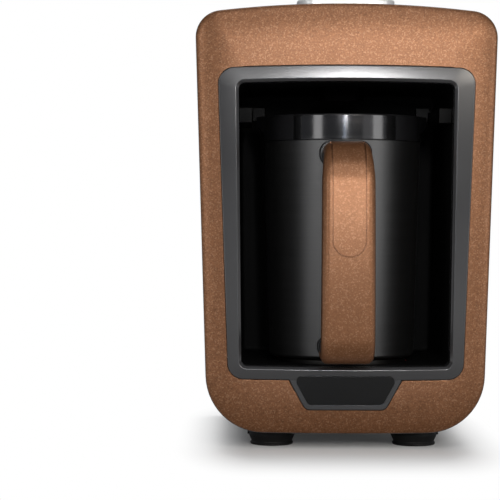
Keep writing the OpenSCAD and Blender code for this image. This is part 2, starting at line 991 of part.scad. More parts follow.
element_r = 24;
element_gap = 50;
terminal_r = 1.6;
terminal_low = shield_low - 3;

module terminal_places() {
    for (s = [-1, 1])
        rotate([0, 0, 90 + s * (element_gap / 2 + 6)])
            translate([element_r, 0, 0])
                children();
}

// Open ring element under the plate, with its two terminals
module heating_element() {
    color([0.6, 0.6, 0.58])
    in_place()
    translate([0, pot_y, 0]) {
        rotate([0, 0, 90 + element_gap / 2])
            rotate_extrude(angle = 360 - element_gap)
                translate([element_r - element_w / 2, flange_low - element_h])
                    square([element_w, element_h]);
        terminal_places()
            post(terminal_r, 0, 0, terminal_low, flange_low - element_h + past);
    }
}

shield_post_x = (plate_r + plate_flange - shield_t - 5.5) / sqrt(2);
shield_post_y = [pot_y - shield_post_x, pot_y + shield_post_x];

module shield_post_places() {
    for (s = [-1, 1], y = shield_post_y)
        translate([s * shield_post_x, y, 0])
            children();
}

// Dish that keeps the heat off the base and holds the plate up against the floor
module heat_shield() {
    color([0.7, 0.7, 0.72])
    in_place()
    difference() {
        translate([0, pot_y, 0])
            rotate_extrude()
                polygon([
                    [0, shield_low],
                    [plate_r + plate_flange, shield_low],
                    [plate_r + plate_flange, flange_low],
                    [plate_r + plate_flange - shield_t, flange_low],
                    [plate_r + plate_flange - shield_t, shield_low + shield_t],
                    [0, shield_low + shield_t]
                ]);
        translate([0, pot_y, 0])
            terminal_places()
                post(terminal_r + 1.5, 0, 0, shield_low - past, shield_low + shield_t + past);
        shield_post_places()
            post(shank_r + screw_fit, 0, 0, shield_low - past, shield_low + shield_t + past);
    }
}

// Temperature sensor pressed against the middle of the plate
module plate_sensor() {
    color([0.8, 0.8, 0.8])
    in_place() {
        post(3, 0, pot_y, shield_low + shield_t + 5, flange_low);
        post(6, 0, pot_y, shield_low + shield_t, shield_low + shield_t + 5);
    }
}

// Thermal cut-out clipped to the shield's floor
module thermal_fuse() {
    color([0.85, 0.8, 0.7])
    in_place()
    difference() {
        block(-16, -9, pot_y - 5, pot_y + 5, shield_low + shield_t, shield_low + shield_t + 5);
        bar_y(1.2, -12.5, shield_low + shield_t + 2.8, pot_y - 6, pot_y + 6);
    }
}

// ---------------------------------------------------------------- mains side

board_face = bay_back + wall + standoff;
block_w = 32;
block_h = 11;
block_d = 6.5;
block_z = [power_board_z[0] + 10, power_board_z[0] + 10 + block_h];

// Spacers bonded to the back of the bay, which take the power board's screws
module board_spacers() {
    color([0.7, 0.7, 0.66])
    in_place()
    power_board_places()
        difference() {
            bar_y(boss_r, 0, 0, bay_back + wall, board_face);
            bar_y(shank_r + screw_fit, 0, 0, bay_back + wall + 1, board_face + past);
        }
}

// Power board, screwed across its spacers behind the bay
module power_board() {
    color([0.1, 0.35, 0.2])
    in_place()
    difference() {
        block(
            -power_board_x, power_board_x, board_face, board_face + board_t,
            power_board_z[0], power_board_z[1]
        );
        power_board_places()
            bar_y(shank_r + screw_fit, 0, 0, board_face - past, board_face + board_t + past);
    }
}

relay = [16, 15, 20];
transformer = [26, 19, 22];
heat_sink = [17, 14, 26];
fin_t = 2;
parts_row = power_board_z[0] + 14;
parts_row_high = parts_row + transformer[2] + 10;

// Relay, transformer, storage capacitors and heat sink on the power board
module power_parts() {
    y = board_face + board_t;
    color([0.15, 0.2, 0.3])
    in_place() {
        translate([-26, y, parts_row])
            cube(relay);
        translate([-4, y, parts_row])
            cube(transformer);
        bar_y(5, -18, parts_row_high + 6, y, y + 20);
        bar_y(4, -4, parts_row_high + 8, y, y + 12);
        translate([8, y, parts_row_high]) {
            for (x = [0:5:heat_sink[0] - fin_t])
                translate([x, 0, 0])
                    cube([fin_t, heat_sink[1], heat_sink[2]]);
            cube([heat_sink[0], fin_t, heat_sink[2]]);
        }
        block(-27, -9, y, y + 8, parts_row_high + 28, parts_row_high + 40);
    }
}

// Screw terminals for the heater's leads, on the front of the board
module terminal_block() {
    color([0.2, 0.45, 0.3])
    in_place()
    difference() {
        block(-block_w / 2, block_w / 2, board_face - block_d, board_face, block_z[0], block_z[1]);
        for (x = [-10, 0, 10])
            bar_y(1.8, x, block_z[1] - 4, board_face - block_d - past, board_face - 3);
    }
}

wire_r = 1.1;
wire_z = body_low + 7.4;

// Two insulated leads from the heater's terminals, under the shield and up to the terminal block
module wire_harness() {
    reach = element_gap / 2 + 6;
    wire_x = element_r * sin(reach);
    down_y = pot_y + element_r * cos(reach);
    up_y = board_face - 3.4;
    color([0.75, 0.2, 0.15])
    in_place()
    for (s = [-1, 1])
        translate([s * wire_x, 0, 0]) {
            post(wire_r, 0, down_y, wire_z, terminal_low);
            translate([0, down_y, wire_z])
                sphere(r = wire_r);
            bar_y(wire_r, 0, wire_z, down_y, up_y);
            translate([0, up_y, wire_z])
                sphere(r = wire_r);
            post(wire_r, 0, up_y, wire_z, block_z[0]);
        }
}

// Bushing that the mains lead would pass through
module cord_gland() {
    bore = 3.4;
    color([0.05, 0.05, 0.05])
    in_place()
    translate([gland_x, body_back, gland_z])
        rotate([-90, 0, 0])
            rotate_extrude()
                polygon([
                    [bore, -wall - 4],
                    [gland_r - screw_fit, -wall - 4],
                    [gland_r - screw_fit, 0],
                    [gland_r + 2, 0],
                    [gland_r + 1.2, gland_rise - 1],
                    [bore + 2.2, gland_rise],
                    [bore, gland_rise]
                ]);
}

// ---------------------------------------------------------------- feet and fasteners

tab_len = 3;
tab_t = 1.2;

// Rubber suction feet: a flared cup, a neck through the base plate, a head above it and a pull tab outside
module suction_feet() {
    cup_top = 5.2;
    color([0.04, 0.04, 0.04])
    in_place()
    for (s = [-1, 1], y = foot_y)
        translate([s * foot_x, y, 0]) {
            rotate_extrude()
                polygon([
                    [0, 2.2],
                    [foot_r * 0.45, 1.6],
                    [foot_r - 2.6, 0],
                    [foot_r - 1.8, 0],
                    [foot_r - 1.4, 0.9],
                    [foot_r - 2.1, 1.8],
                    [foot_r - 1.2, cup_top - 1.4],
                    [foot_r - 0.5, cup_top],
                    [foot_r - 1, body_low - 0.8],
                    [foot_r * 0.62, body_low],
                    [foot_neck, body_low],
                    [foot_neck, base_ledge],
                    [foot_neck + 1.6, base_ledge],
                    [foot_neck + 1.2, base_ledge + 1.2],
                    [0, base_ledge + 2.4]
                ]);
            block(
                min(s * (foot_r - 5), s * foot_r), max(s * (foot_r - 5), s * foot_r),
                -tab_len, tab_len, cup_top, cup_top + tab_t
            );
        }
}

// Pan-head screw along -Z with its head's underside at the origin, or a sunk one
module screw(length) {
    rotate_extrude()
        polygon(concat(
            [[0, -length], [shank_r - 0.5, -length], [shank_r, -length + 1], [shank_r, 0], [pan_r, 0]],
            arc([pan_r - 1, pan_h - 1], 1, 0, 90, 4),
            [[0, pan_h]]
        ));
}

module base_screws() {
    color([0.5, 0.5, 0.52])
    in_place()
    base_screw_places()
        translate([0, 0, body_low + pan_h])
            rotate([180, 0, 0])
                screw(7);
}

module back_screws() {
    color([0.5, 0.5, 0.52])
    in_place()
    back_boss_places()
        translate([0, body_back - 8, 0])
            rotate([-90, 0, 0])
                screw(16);
}

// Screws of the power board and of the control board
module board_screws() {
    color([0.6, 0.6, 0.62])
    in_place() {
        power_board_places()
            translate([0, board_face + board_t, 0])
                rotate([-90, 0, 0])
                    screw(7);
        board_screw_places()
            translate([0, 0, board_top - board_t])
                rotate([180, 0, 0])
                    screw(7);
        shield_post_places()
            translate([0, 0, shield_low + shield_t])
                screw(6);
    }
}

// Screws that hold the control panel from inside
module panel_screws() {
    color([0.6, 0.6, 0.62])
    in_place()
    panel_screw_places()
        translate([0, 0, panel_screw_seat])
            rotate([180, 0, 0])
                screw(4.4);
}

// ---------------------------------------------------------------- pot

neck_r = pot_r - 0.9;
foot_pot_r = pot_r - pot_taper;
disc_r = foot_pot_r - plate_margin;
floor_pot = pot_low + pot_disc_t;
foot_edge = 2.4;
rim_lip = 0.6;
collar_r = pot_r + 0.5;
band_t = 0.8;
spout_w = 11;
stud_r = 5;
stud_out = 1.4;
arm_top_z = shoulder - arm_drop;
arm_low_z = pot_low + arm_rise;
root_low_z = pot_low + root_rise;

// Outer radius of the pot's tapered wall at a height
function pot_at(z) = foot_pot_r + (pot_r - foot_pot_r) * (z - pot_low) / (shoulder - pot_low);

// Front plane of the weld stud at a height
function stud_face(z) = pot_y - pot_at(z) - stud_out;

module at_pot() {
    in_place()
        translate([0, pot_y, 0])
            children();
}

// Spout: blends from the collar's full height to a lip at the top
module spout_form(inset, top) {
    hull() {
        for (s = [-1, 1])
            post(1.5, neck_r - 2, s * (spout_w - inset), shoulder + 2 + 2 * inset, top, $fn = 32);
        post(1.2, spout_x - 1.2 - 1.6 * inset, 0, shoulder + 8.5 + 1.6 * inset, top, $fn = 32);
    }
}

// Steel body: seamed to its foot ring, tapered, stepped in at the shoulder, open at the top
module pot_vessel() {
    color([0.35, 0.35, 0.36])
    at_pot()
    difference() {
        union() {
            rotate_extrude($fn = 128)
                polygon(concat(
                    [
                        [0, floor_pot],
                        [disc_r + fit, floor_pot],
                        [disc_r + fit, pot_low + 0.3],
                        [foot_pot_r - foot_edge, pot_low + 0.3]
                    ],
                    arc([foot_pot_r - foot_edge, pot_low + 0.3 + foot_edge], foot_edge, -75, 0, 5),
                    [
                        [pot_r, shoulder - 0.6],
                        [pot_r - 0.4, shoulder],
                        [neck_r, shoulder],
                        [neck_r, pot_top - rim_lip],
                        [neck_r - pot_wall, pot_top - rim_lip],
                        [neck_r - pot_wall, shoulder - 2],
                        [foot_pot_r - pot_wall, floor_pot + foot_edge],
                        [foot_pot_r - pot_wall - 0.3 * foot_edge, floor_pot + pot_wall + 0.3],
                        [foot_pot_r - pot_wall - foot_edge, floor_pot + pot_wall],
                        [0, floor_pot + pot_wall]
                    ]
                ));
            // Weld studs for the handle
            for (z = [arm_top_z, root_low_z])
                bar_y(stud_r, 0, z, -pot_at(z) - stud_out, -pot_at(z) + pot_wall + 1);
        }
        for (z = [arm_top_z, root_low_z])
            bar_y(rivet_r + screw_fit, 0, z, -pot_r - 10, -pot_r + 12);
        both_sides()
            spout_form(1.2, pot_top + past);
    }
}

// Heat-spreading disc in the pot's foot
module pot_base() {
    color([0.55, 0.55, 0.56])
    at_pot()
    difference() {
        post(disc_r, 0, 0, pot_low, floor_pot);
        for (r = [8, 16, 24])
            translate([0, 0, pot_low - past])
                rotate_extrude()
                    translate([r, 0])
                        square([0.6, past + 0.3]);
    }
}

// Collar round the mouth with a pouring spout on each side, stepped back for the polished bands
module pot_collar() {
    color([0.05, 0.05, 0.05])
    at_pot()
    difference() {
        union() {
            rotate_extrude($fn = 128)
                polygon([
                    [neck_r + 0.05, shoulder],
                    [collar_r - band_t, shoulder],
                    [collar_r - band_t, pot_top - 0.8],
                    [collar_r - band_t - 0.5, pot_top],
                    [neck_r - pot_wall, pot_top],
                    [neck_r - pot_wall, pot_top - rim_lip],
                    [neck_r + 0.05, pot_top - rim_lip]
                ]);
            for (a = [band_angle - 90 + 0.4, band_angle + 90 + 0.4])
                rotate([0, 0, a])
                    rotate_extrude(angle = 180 - 2 * band_angle - 0.8, $fn = 128)
                        polygon([
                            [collar_r - band_t - 0.2, shoulder],
                            [collar_r, shoulder],
                            [collar_r, pot_top - 0.5],
                            [collar_r - band_t - 0.2, pot_top - 0.5]
                        ]);
            both_sides()
                difference() {
                    spout_form(0, pot_top);
                    post(neck_r + 0.05, 0, 0, shoulder - past, pot_top + past, $fn = 128);
                }
        }
        both_sides()
            spout_form(1.2, pot_top + past);
    }
}

// Polished bands, front and back, between the spouts
module collar_bands() {
    color([0.6, 0.6, 0.62])
    at_pot()
    for (a = [270 - band_angle, 90 - band_angle])
        rotate([0, 0, a])
            rotate_extrude(angle = 2 * band_angle, $fn = 128)
                polygon([
                    [collar_r - band_t, shoulder + 0.2],
                    [collar_r - 0.1, shoulder + 0.2],
                    [collar_r, shoulder + 0.5],
                    [collar_r, pot_top - 0.9],
                    [collar_r - 0.1, pot_top - 0.6],
                    [collar_r - band_t, pot_top - 0.8]
                ]);
}

// ---------------------------------------------------------------- handle

rivet_r = 2;
half_t = grip_t / 2;
pad_t = 5;
pad_top = 13;
pad_low = 10;
grip_mid_y = pot_y - pot_r - grip_reach;
top_bend_z = arm_top_z - grip_bend_top;
low_bend_z = arm_low_z + grip_bend_low;
grip_sweep = asin((top_bend_z - low_bend_z) / (2 * grip_bow - grip_bend_top - grip_bend_low));
grip_c = [grip_mid_y + grip_bow, top_bend_z - (grip_bow - grip_bend_top) * sin(grip_sweep)];
top_bend_c = [grip_c[0] - (grip_bow - grip_bend_top) * cos(grip_sweep), top_bend_z];
low_bend_c = [grip_c[0] - (grip_bow - grip_bend_low) * cos(grip_sweep), low_bend_z];
bend_steps = 9;
grip_steps = 12;

// A station of the handle: depth, height, direction of its outer face and width
function stations(c, r, from, to, n, w0, w1) = [
    for (i = [0:n])
        let (t = i / n, a = from + (to - from) * t)
        [c[0] + r * cos(a), c[1] + r * sin(a), a, w0 + (w1 - w0) * t]
];

grip_top_w = grip_w - 0.5;
handle_line = concat(
    but_last(stations(top_bend_c, grip_bend_top, 90, 180 - grip_sweep, bend_steps, arm_w, grip_top_w)),
    stations(grip_c, grip_bow, 180 - grip_sweep, 180 + grip_sweep, grip_steps, grip_top_w, grip_w),
    [for (i = [1:bend_steps]) stations(
        low_bend_c, grip_bend_low, 180 + grip_sweep, 270, bend_steps, grip_w, grip_w)[i]]
);

// The arms run straight back from the bends to the pads
function with_arms(line, top_y, low_y) = concat(
    [[top_y, line[0][1], 90, line[0][3]]],
    line,
    [[low_y, line[len(line) - 1][1], 270, line[len(line) - 1][3]]]
);

// Depth and height of a point over the middle line at a station
function at_height(s, h) = [s[0] + h * cos(s[2]), s[1] + h * sin(s[2])];

// Sweeps a flat section along stations. A section point is [share of the half width, inset from the side,
// height over the middle line].
function swept(line, section) = [
    for (s = line)
        [
            for (p = section)
                concat([p[0] * (s[3] / 2 - p[1])], at_height(s, p[2]))
        ]
];

// Half of a rounded grip, from its middle plane out to a face at the given height
function half_grip(height, r) = let (
    way = sign(height),
    n = 5,
    side = [
        for (i = [0:n])
            let (a = 90 * i / n)
            [r * (1 - cos(a)), height - way * r * (1 - sin(a))]
    ],
    left = concat([[-1, 0, 0]], [for (p = side) [-1, p[0], p[1]]]),
    right = concat([for (i = [n:-1:0]) [1, side[i][0], side[i][1]]], [[1, 0, 0]])
)
way > 0 ? concat(left, right) : let (all = concat(left, right)) [
    for (i = [len(all) - 1:-1:0]) all[i]
];

core_r = 3.6;
cover_r = 3.8;
tongue_depth = 1.2;
tongue_gap = 0.35;
pad_front = stud_face(arm_top_z) + stud_out - pad_t;

// Rounded pad at the root of an arm, hollowed to the pot's wall and to its weld stud
module root_pad(z, w, h) {
    difference() {
        translate([0, 0, z])
            slab(stud_face(z) + stud_out - pad_t, stud_face(z) + stud_out + 6)
                round_rect(w, h, h / 2 - 0.6);
        translate([0, pot_y, 0])
            rotate_extrude($fn = 128)
                polygon([
                    [0, pot_low - past],
                    [pot_at(pot_low - past) + fit, pot_low - past],
                    [pot_at(shoulder + 2) + fit, shoulder + 2],
                    [0, shoulder + 2]
                ]);
        bar_y(stud_r + fit, 0, z, stud_face(z), pot_y);
    }
}

// Black inner half of the handle with its two root pads
module handle_core() {
    color([0.05, 0.05, 0.05])
    in_place()
    difference() {
        union() {
            skin(swept(
                with_arms(handle_line, stud_face(arm_top_z) - past / 2, stud_face(arm_low_z) - past / 2),
                half_grip(-half_t, core_r)
            ));
            root_pad(arm_top_z, grip_w, pad_top);
            root_pad(root_low_z, grip_w + 1.4, pad_low);
        }
        bar_y(rivet_r + screw_fit, 0, arm_top_z, stud_face(arm_top_z) - pad_t + 1.6, pot_y);
        bar_y(rivet_r + screw_fit, 0, root_low_z, stud_face(root_low_z) - pad_t + 1.6, pot_y);
    }
}

tongue_low = low_bend_z + tongue_clear;
tongue_back = 2;

// Stations of the tongue, from the top arm to just past its rounded foot
function tongue_line(grow) = let (step = (top_bend_z - low_bend_z) / grip_steps) concat(
    [[handle_line[0][0] + tongue_back + grow, handle_line[0][1], 90]],
    [for (s = handle_line) if (s[1] > tongue_low - 1.5 * step) s]
);

// Tongue between two heights over the middle line: its outline from the front, cut from a strip of the grip
module tongue_form(grow, low, high) {
    line = tongue_line(grow);
    r = tongue_w / 2 + grow;
    foot_z = tongue_low + tongue_w / 2;
    intersection() {
        slab(grip_mid_y - 2 * grip_t, line[0][0] + past)
            union() {
                translate([0, foot_z])
                    circle(r, $fn = 64);
                translate([-r, foot_z])
                    square([2 * r, arm_top_z + grip_t - foot_z]);
            }
        rotate([90, 0, 90])
            linear_extrude(2 * grip_w, center = true)
                polygon(concat(
                    [for (s = line) at_height(s, low)],
                    [for (i = [len(line) - 1:-1:0]) at_height(line[i], high)]
                ));
    }
}

// Coloured outer half of the handle, with the recess for the tongue
module handle_cover() {
    color([0.66, 0.43, 0.29])
    in_place()
    difference() {
        skin(swept(
            with_arms(handle_line, pad_front, pad_front),
            half_grip(half_t, cover_r)
        ));
        tongue_form(tongue_gap, half_t - tongue_depth, half_t + past);
    }
}

// Tongue let into the top of the grip
module handle_inlay() {
    color([0.64, 0.41, 0.27])
    in_place()
    tongue_form(0, half_t - tongue_depth, half_t);
}

// Rivets from inside the pot through the studs into the pads
module handle_rivets() {
    head_r = 3;
    color([0.6, 0.6, 0.62])
    at_pot()
    for (z = [arm_top_z, root_low_z]) {
        bar_y(rivet_r, 0, z, -pot_at(z) - stud_out - pad_t + 3.2, -pot_at(z) + pot_wall + 1);
        bar_y(head_r, 0, z, -pot_at(z) + pot_wall + 1, -pot_at(z) + pot_wall + 2.2);
    }
}

housing();
back_cover();
base_plate();
front_frame();
bezel();
badge_panel();
bay_liner();
pot_guides();
sensor_window();
overflow_sensor();
control_panel();
button_ring();
brew_button();
button_spring();
control_board();
button_switch();
ring_leds();
buzzer();
hot_plate();
plate_seal();
heating_element();
heat_shield();
plate_sensor();
thermal_fuse();
board_spacers();
power_board();
power_parts();
terminal_block();
wire_harness();
cord_gland();
suction_feet();
base_screws();
back_screws();
board_screws();
panel_screws();
pot_vessel();
pot_base();
pot_collar();
collar_bands();
handle_core();
handle_cover();
handle_inlay();
handle_rivets();
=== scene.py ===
import math

import bmesh
import bpy
from bpy.props import FloatProperty, FloatVectorProperty, PointerProperty
from mathutils import Matrix, Vector


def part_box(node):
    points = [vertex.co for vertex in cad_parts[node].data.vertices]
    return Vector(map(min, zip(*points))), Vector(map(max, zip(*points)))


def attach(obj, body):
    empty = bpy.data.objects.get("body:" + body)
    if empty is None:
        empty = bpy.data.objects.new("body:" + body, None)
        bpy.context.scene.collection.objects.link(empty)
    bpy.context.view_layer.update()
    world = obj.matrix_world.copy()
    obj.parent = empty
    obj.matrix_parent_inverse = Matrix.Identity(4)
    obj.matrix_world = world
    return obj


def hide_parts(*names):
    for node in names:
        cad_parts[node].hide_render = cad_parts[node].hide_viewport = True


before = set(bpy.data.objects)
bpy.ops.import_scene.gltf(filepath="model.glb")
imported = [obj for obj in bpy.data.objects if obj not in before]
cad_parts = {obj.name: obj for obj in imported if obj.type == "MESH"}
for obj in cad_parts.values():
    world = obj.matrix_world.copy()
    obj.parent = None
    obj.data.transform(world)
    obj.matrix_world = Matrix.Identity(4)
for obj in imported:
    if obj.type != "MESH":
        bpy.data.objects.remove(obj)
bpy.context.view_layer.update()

bl_info = {
    "name": "Turkish coffee maker",
    "version": (1, 0, 0),
    "blender": (4, 5, 0),
    "location": "View3D > Sidebar > Coffee",
    "description": "Dresses an electric coffee maker: painted front, bezel, bay, steel pot and bowed handle",
    "category": "Object",
}

MM = 0.001
RIGHT_ANGLE = math.pi / 2
ORIGIN = Vector((0, 0, 0))

# Distances that several pieces share, in metres
FRONT_STEP = 1.6 * MM  # from the front's face back to the housing's edge
PANEL_SINK = 1.1 * MM  # depth of the control panel's seat
SCREW_HEAD = 2.8 * MM  # radius of a screw's head
SCREW_RECESS = 3.05 * MM  # radius of the recess round it
NECK_STEP = 0.9 * MM  # from the pot's shoulder in to its neck
REACH = 5 * MM  # how far a cutter goes past what it cuts
BAND_PLAY = 0.012  # radians between the end of a polished band and the end of its seat

# Places that come from the frame, in metres
HOUSING_LOW, HOUSING_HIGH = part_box("housing")
FRONT = HOUSING_LOW.y - FRONT_STEP
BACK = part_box("back_cover")[1].y
SEAM = HOUSING_HIGH.y
BODY_LOW = HOUSING_LOW.z
BODY_TOP = HOUSING_HIGH.z
POT_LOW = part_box("pot_base")[0].z
COLLAR_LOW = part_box("pot_collar")[0].z
POT_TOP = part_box("pot_collar")[1].z
PLATE_LOW, PLATE_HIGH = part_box("hot_plate")
POT_AXIS = Vector(((PLATE_LOW.x + PLATE_HIGH.x) / 2, (PLATE_LOW.y + PLATE_HIGH.y) / 2, 0))
BUTTON_LOW, BUTTON_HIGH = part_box("brew_button")
BUTTON_AXIS = (BUTTON_LOW + BUTTON_HIGH) / 2
PANEL_LOW, PANEL_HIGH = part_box("control_panel")
GLAND_LOW, GLAND_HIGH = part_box("cord_gland")
FEET_LOW, FEET_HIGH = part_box("suction_feet")


def size(name, default_mm, text):
    return FloatProperty(
        name=name, description=text, default=default_mm * MM, min=0.0, unit="LENGTH", precision=5
    )


def colour(name, default, text):
    return FloatVectorProperty(
        name=name, description=text, default=default, size=3, min=0, max=1, subtype="COLOR"
    )


class COFFEE_PG_sizes(bpy.types.PropertyGroup):
    """Sizes that the frame's boxes don't give"""

    body_foot: size("Body foot", 69.235, "Half width of the body at its lowest point")
    body_head: size("Body head", 76.10, "Half width of the body at its highest point")
    body_low_corner: size("Low corner", 29.3, "Radius of the body's bottom corners")
    body_top_corner: size("Top corner", 13.5, "Radius of the body's top corners")
    low_crown: size("Low crown", 2000, "Radius of the arched underside")
    top_crown: size("Top crown", 550, "Radius of the arched top")
    band_low: size("Low band", 27.2, "Height of the painted frame below the bezel")
    band_top: size("Top band", 31.3, "Height of the painted frame above the bezel")
    bezel_foot: size("Bezel foot", 58.7, "Half width of the bezel at its lowest point")
    bezel_head: size("Bezel head", 64.4, "Half width of the bezel at its highest point")
    bezel_corner: size("Bezel corner", 8, "Radius of the bezel's outer corners")
    bezel_crown: size("Bezel crown", 1350, "Radius of the bezel's arched top")
    flat_crown: size("Flat crown", 2600, "Radius of the bezel's nearly flat underside")
    rim_low: size("Low rim", 6.5, "Height of the bezel below the bay")
    rim_top: size("Top rim", 7.7, "Height of the bezel above the bay")
    mouth_foot: size("Mouth foot", 52.1, "Half width of the bay's mouth at its floor")
    mouth_head: size("Mouth head", 53.9, "Half width of the bay's mouth at its ceiling")
    mouth_corner: size("Mouth corner", 3, "Radius of the mouth's corners")
    tab_top: size("Tab top", 28.2, "Half width of the tab where it leaves the bezel")
    tab_foot: size("Tab foot", 20, "Half width of the tab's lower edge")
    tab_drop: size("Tab drop", 14.9, "How far the tab drops below the bezel")
    wall: size("Wall", 2.4, "Thickness of the moulded shells")
    fit: size("Fit", 0.25, "Gap between a moulding and the one it fits into")
    back_edge: size("Back edge", 7, "Radius of the rounded edge round the back")
    pot_shoulder: size("Pot shoulder", 41, "Outer radius of the pot at its shoulder")
    pot_foot: size("Pot foot", 38, "Outer radius of the pot at its foot")
    band_angle: FloatProperty(
        name="Band angle",
        description="Half of the angle that each polished band covers",
        default=math.radians(39),
        subtype="ANGLE",
    )
    spout_half: size("Spout", 11, "Half width of a spout where it leaves the collar")
    grip_reach: size("Grip reach", 33.2, "Distance from the pot's shoulder to the middle of the grip")
    grip_thick: size("Grip thickness", 11, "Thickness of the whole grip")
    grip_bow: size("Grip bow", 420, "Radius of the grip's long outward curve")
    bend_top: size("Top bend", 16, "Radius of the bend at the top of the handle")
    bend_low: size("Low bend", 9, "Radius of the bend at the foot of the handle")
    arm_drop: size("Arm drop", 7.2, "Height of the handle's top arm below the shoulder")
    arm_rise: size("Arm rise", 6.0, "Height of the handle's lower arm above the pot's base")
    root_rise: size("Root rise", 7.2, "Height of the handle's lower pad above the pot's base")
    arm_width: size("Arm width", 21.6, "Width of the handle's top arm")
    grip_width: size("Grip width", 26.4, "Width of the grip at its foot")
    tongue_width: size("Tongue width", 15.4, "Width of the tongue let into the grip")
    tongue_clear: size("Tongue clear", 39, "Length of the grip left free below the tongue")
    tongue_gap: size("Tongue gap", 0.9, "Gap round the tongue")


class COFFEE_PG_colours(bpy.types.PropertyGroup):
    """Main colours of the finishes"""

    copper: colour("Copper", (0.135, 0.054, 0.021), "Metallic paint of the front frame")
    copper_light: colour("Light copper", (0.26, 0.114, 0.051), "Light grains in the metallic paint")
    # The handle's copper is a lighter copy of the frame's copper paint: painted light on the handle.
    handle: colour("Handle", (0.18, 0.075, 0.031), "Metallic paint of the handle")
    charcoal: colour("Charcoal", (0.04, 0.04, 0.042), "Bezel round the bay")
    black: colour("Black", (0.008, 0.008, 0.009), "Black mouldings")
    pot: colour("Pot", (0.1, 0.1, 0.102), "Dark satin coat of the pot")
    silver: colour("Silver", (0.72, 0.72, 0.73), "Control panel and button")


def sizes():
    return bpy.context.scene.coffee_sizes


def colours():
    return bpy.context.scene.coffee_colours


# ---------------------------------------------------------------- outlines

CROWN_STEPS = 24
CORNER_STEPS = 14
LEAST_RADIUS = 0.4 * MM  # of a corner that is moved inwards


def polar(centre, radius, angle):
    return centre[0] + radius * math.cos(angle), centre[1] + radius * math.sin(angle)


def crowned(foot, head, z_low, z_top, r_low, r_top, crown_low, crown_top, inset=0.0):
    """Arcs of an outline with leaning sides, an arched top and underside and round corners.

    They run counter-clockwise. An arc is (centre, radius, start angle, sweep, steps).
    """
    lean = math.atan((head - foot) / (z_top - z_low))
    side = (foot - z_low * math.tan(lean)) * math.cos(lean) - inset
    rl, rt = max(r_low - inset, LEAST_RADIUS), max(r_top - inset, LEAST_RADIUS)
    low_c, top_c = z_low + crown_low, z_top - crown_top
    low_e = side - rl + low_c * math.sin(lean)
    top_e = side - rt + top_c * math.sin(lean)
    low_h = math.sqrt((crown_low - inset - rl) ** 2 - low_e**2)
    top_h = math.sqrt((crown_top - inset - rt) ** 2 - top_e**2)
    lc = (
        low_e * math.cos(lean) - low_h * math.sin(lean),
        low_c - low_e * math.sin(lean) - low_h * math.cos(lean),
    )
    tc = (
        top_e * math.cos(lean) + top_h * math.sin(lean),
        top_c - top_e * math.sin(lean) + top_h * math.cos(lean),
    )
    low_a = math.atan2(lc[1] - low_c, lc[0])
    top_a = math.atan2(tc[1] - top_c, tc[0])
    half = math.pi
    return [
        ((0, low_c), crown_low - inset, -half - low_a, half + 2 * low_a, CROWN_STEPS),
        (lc, rl, low_a, -lean - low_a, CORNER_STEPS),
        (tc, rt, -lean, top_a + lean, CORNER_STEPS),
        ((0, top_c), crown_top - inset, top_a, half - 2 * top_a, CROWN_STEPS),
        ((-tc[0], tc[1]), rt, half - top_a, lean + top_a, CORNER_STEPS),
        ((-lc[0], lc[1]), rl, half + lean, -low_a - lean, CORNER_STEPS),
    ]


def body_line(inset=0.0):
    s = sizes()
    return crowned(
        s.body_foot, s.body_head, BODY_LOW, BODY_TOP, s.body_low_corner, s.body_top_corner,
        s.low_crown, s.top_crown, inset,
    )


def bezel_low():
    return BODY_LOW + sizes().band_low


def bezel_top():
    return BODY_TOP - sizes().band_top


def bezel_line(inset=0.0):
    s = sizes()
    return crowned(
        s.bezel_foot, s.bezel_head, bezel_low(), bezel_top(), s.bezel_corner, s.bezel_corner,
        s.flat_crown, s.bezel_crown, inset,
    )


def mouth_line(grow=0.0):
    s = sizes()
    return crowned(
        s.mouth_foot, s.mouth_head, bezel_low() + s.rim_low, bezel_top() - s.rim_top,
        s.mouth_corner, s.mouth_corner, s.flat_crown, s.bezel_crown, -grow,
    )


def rounded(points, steps=6, closed=True):
    """Arcs that round the corners of a polygon. A point is (u, v, corner radius)."""
    arcs = []
    count = len(points)
    for i, (u, v, r) in enumerate(points):
        at = Vector((u, v))
        if r <= 0 or (not closed and i in (0, count - 1)):
            arcs.append(((u, v), 0.0, 0.0, 0.0, 0))
            continue
        before = (Vector(points[i - 1][:2]) - at).normalized()
        after = (Vector(points[(i + 1) % count][:2]) - at).normalized()
        half = before.angle(after) / 2
        centre = at + (before + after).normalized() * (r / math.sin(half))
        start = at + before * (r / math.tan(half)) - centre
        end = at + after * (r / math.tan(half)) - centre
        a0 = math.atan2(start.y, start.x)
        sweep = (math.atan2(end.y, end.x) - a0 + math.pi) % (2 * math.pi) - math.pi
        arcs.append(((centre.x, centre.y), r, a0, sweep, steps))
    return arcs


def box_line(w, d, r, centre=(0, 0), steps=8):
    """Arcs of a rectangle with round corners."""
    u, v = centre[0], centre[1]
    corners = ((-1, -1), (1, -1), (1, 1), (-1, 1))
    return rounded([(u + i * w / 2, v + j * d / 2, r) for i, j in corners], steps)


def ring_line(radius, centre=(0, 0), steps=48):
    return [(centre, radius, 0.0, math.pi, steps // 2), (centre, radius, math.pi, math.pi, steps // 2)]


def tab_line(grow=0.0, corner=4.0 * MM, top=None):
    """Arcs of the trapezoid tab under the bezel, moved outwards by grow."""
    s = sizes()
    z_top = bezel_low() + (0.0 if top is None else top)
    z_foot = bezel_low() - s.tab_drop - grow
    slope = (s.tab_top - s.tab_foot) / s.tab_drop
    out = grow * math.sqrt(1 + slope * slope)
    foot = s.tab_foot + out - grow * slope
    head = s.tab_top + out + (z_top - bezel_low()) * slope
    r_foot = max(corner + grow, 0.5 * MM)
    r_head = 0.0 if top is None else r_foot
    return rounded([
        (-foot, z_foot, r_foot), (foot, z_foot, r_foot), (head, z_top, r_head), (-head, z_top, r_head),
    ])


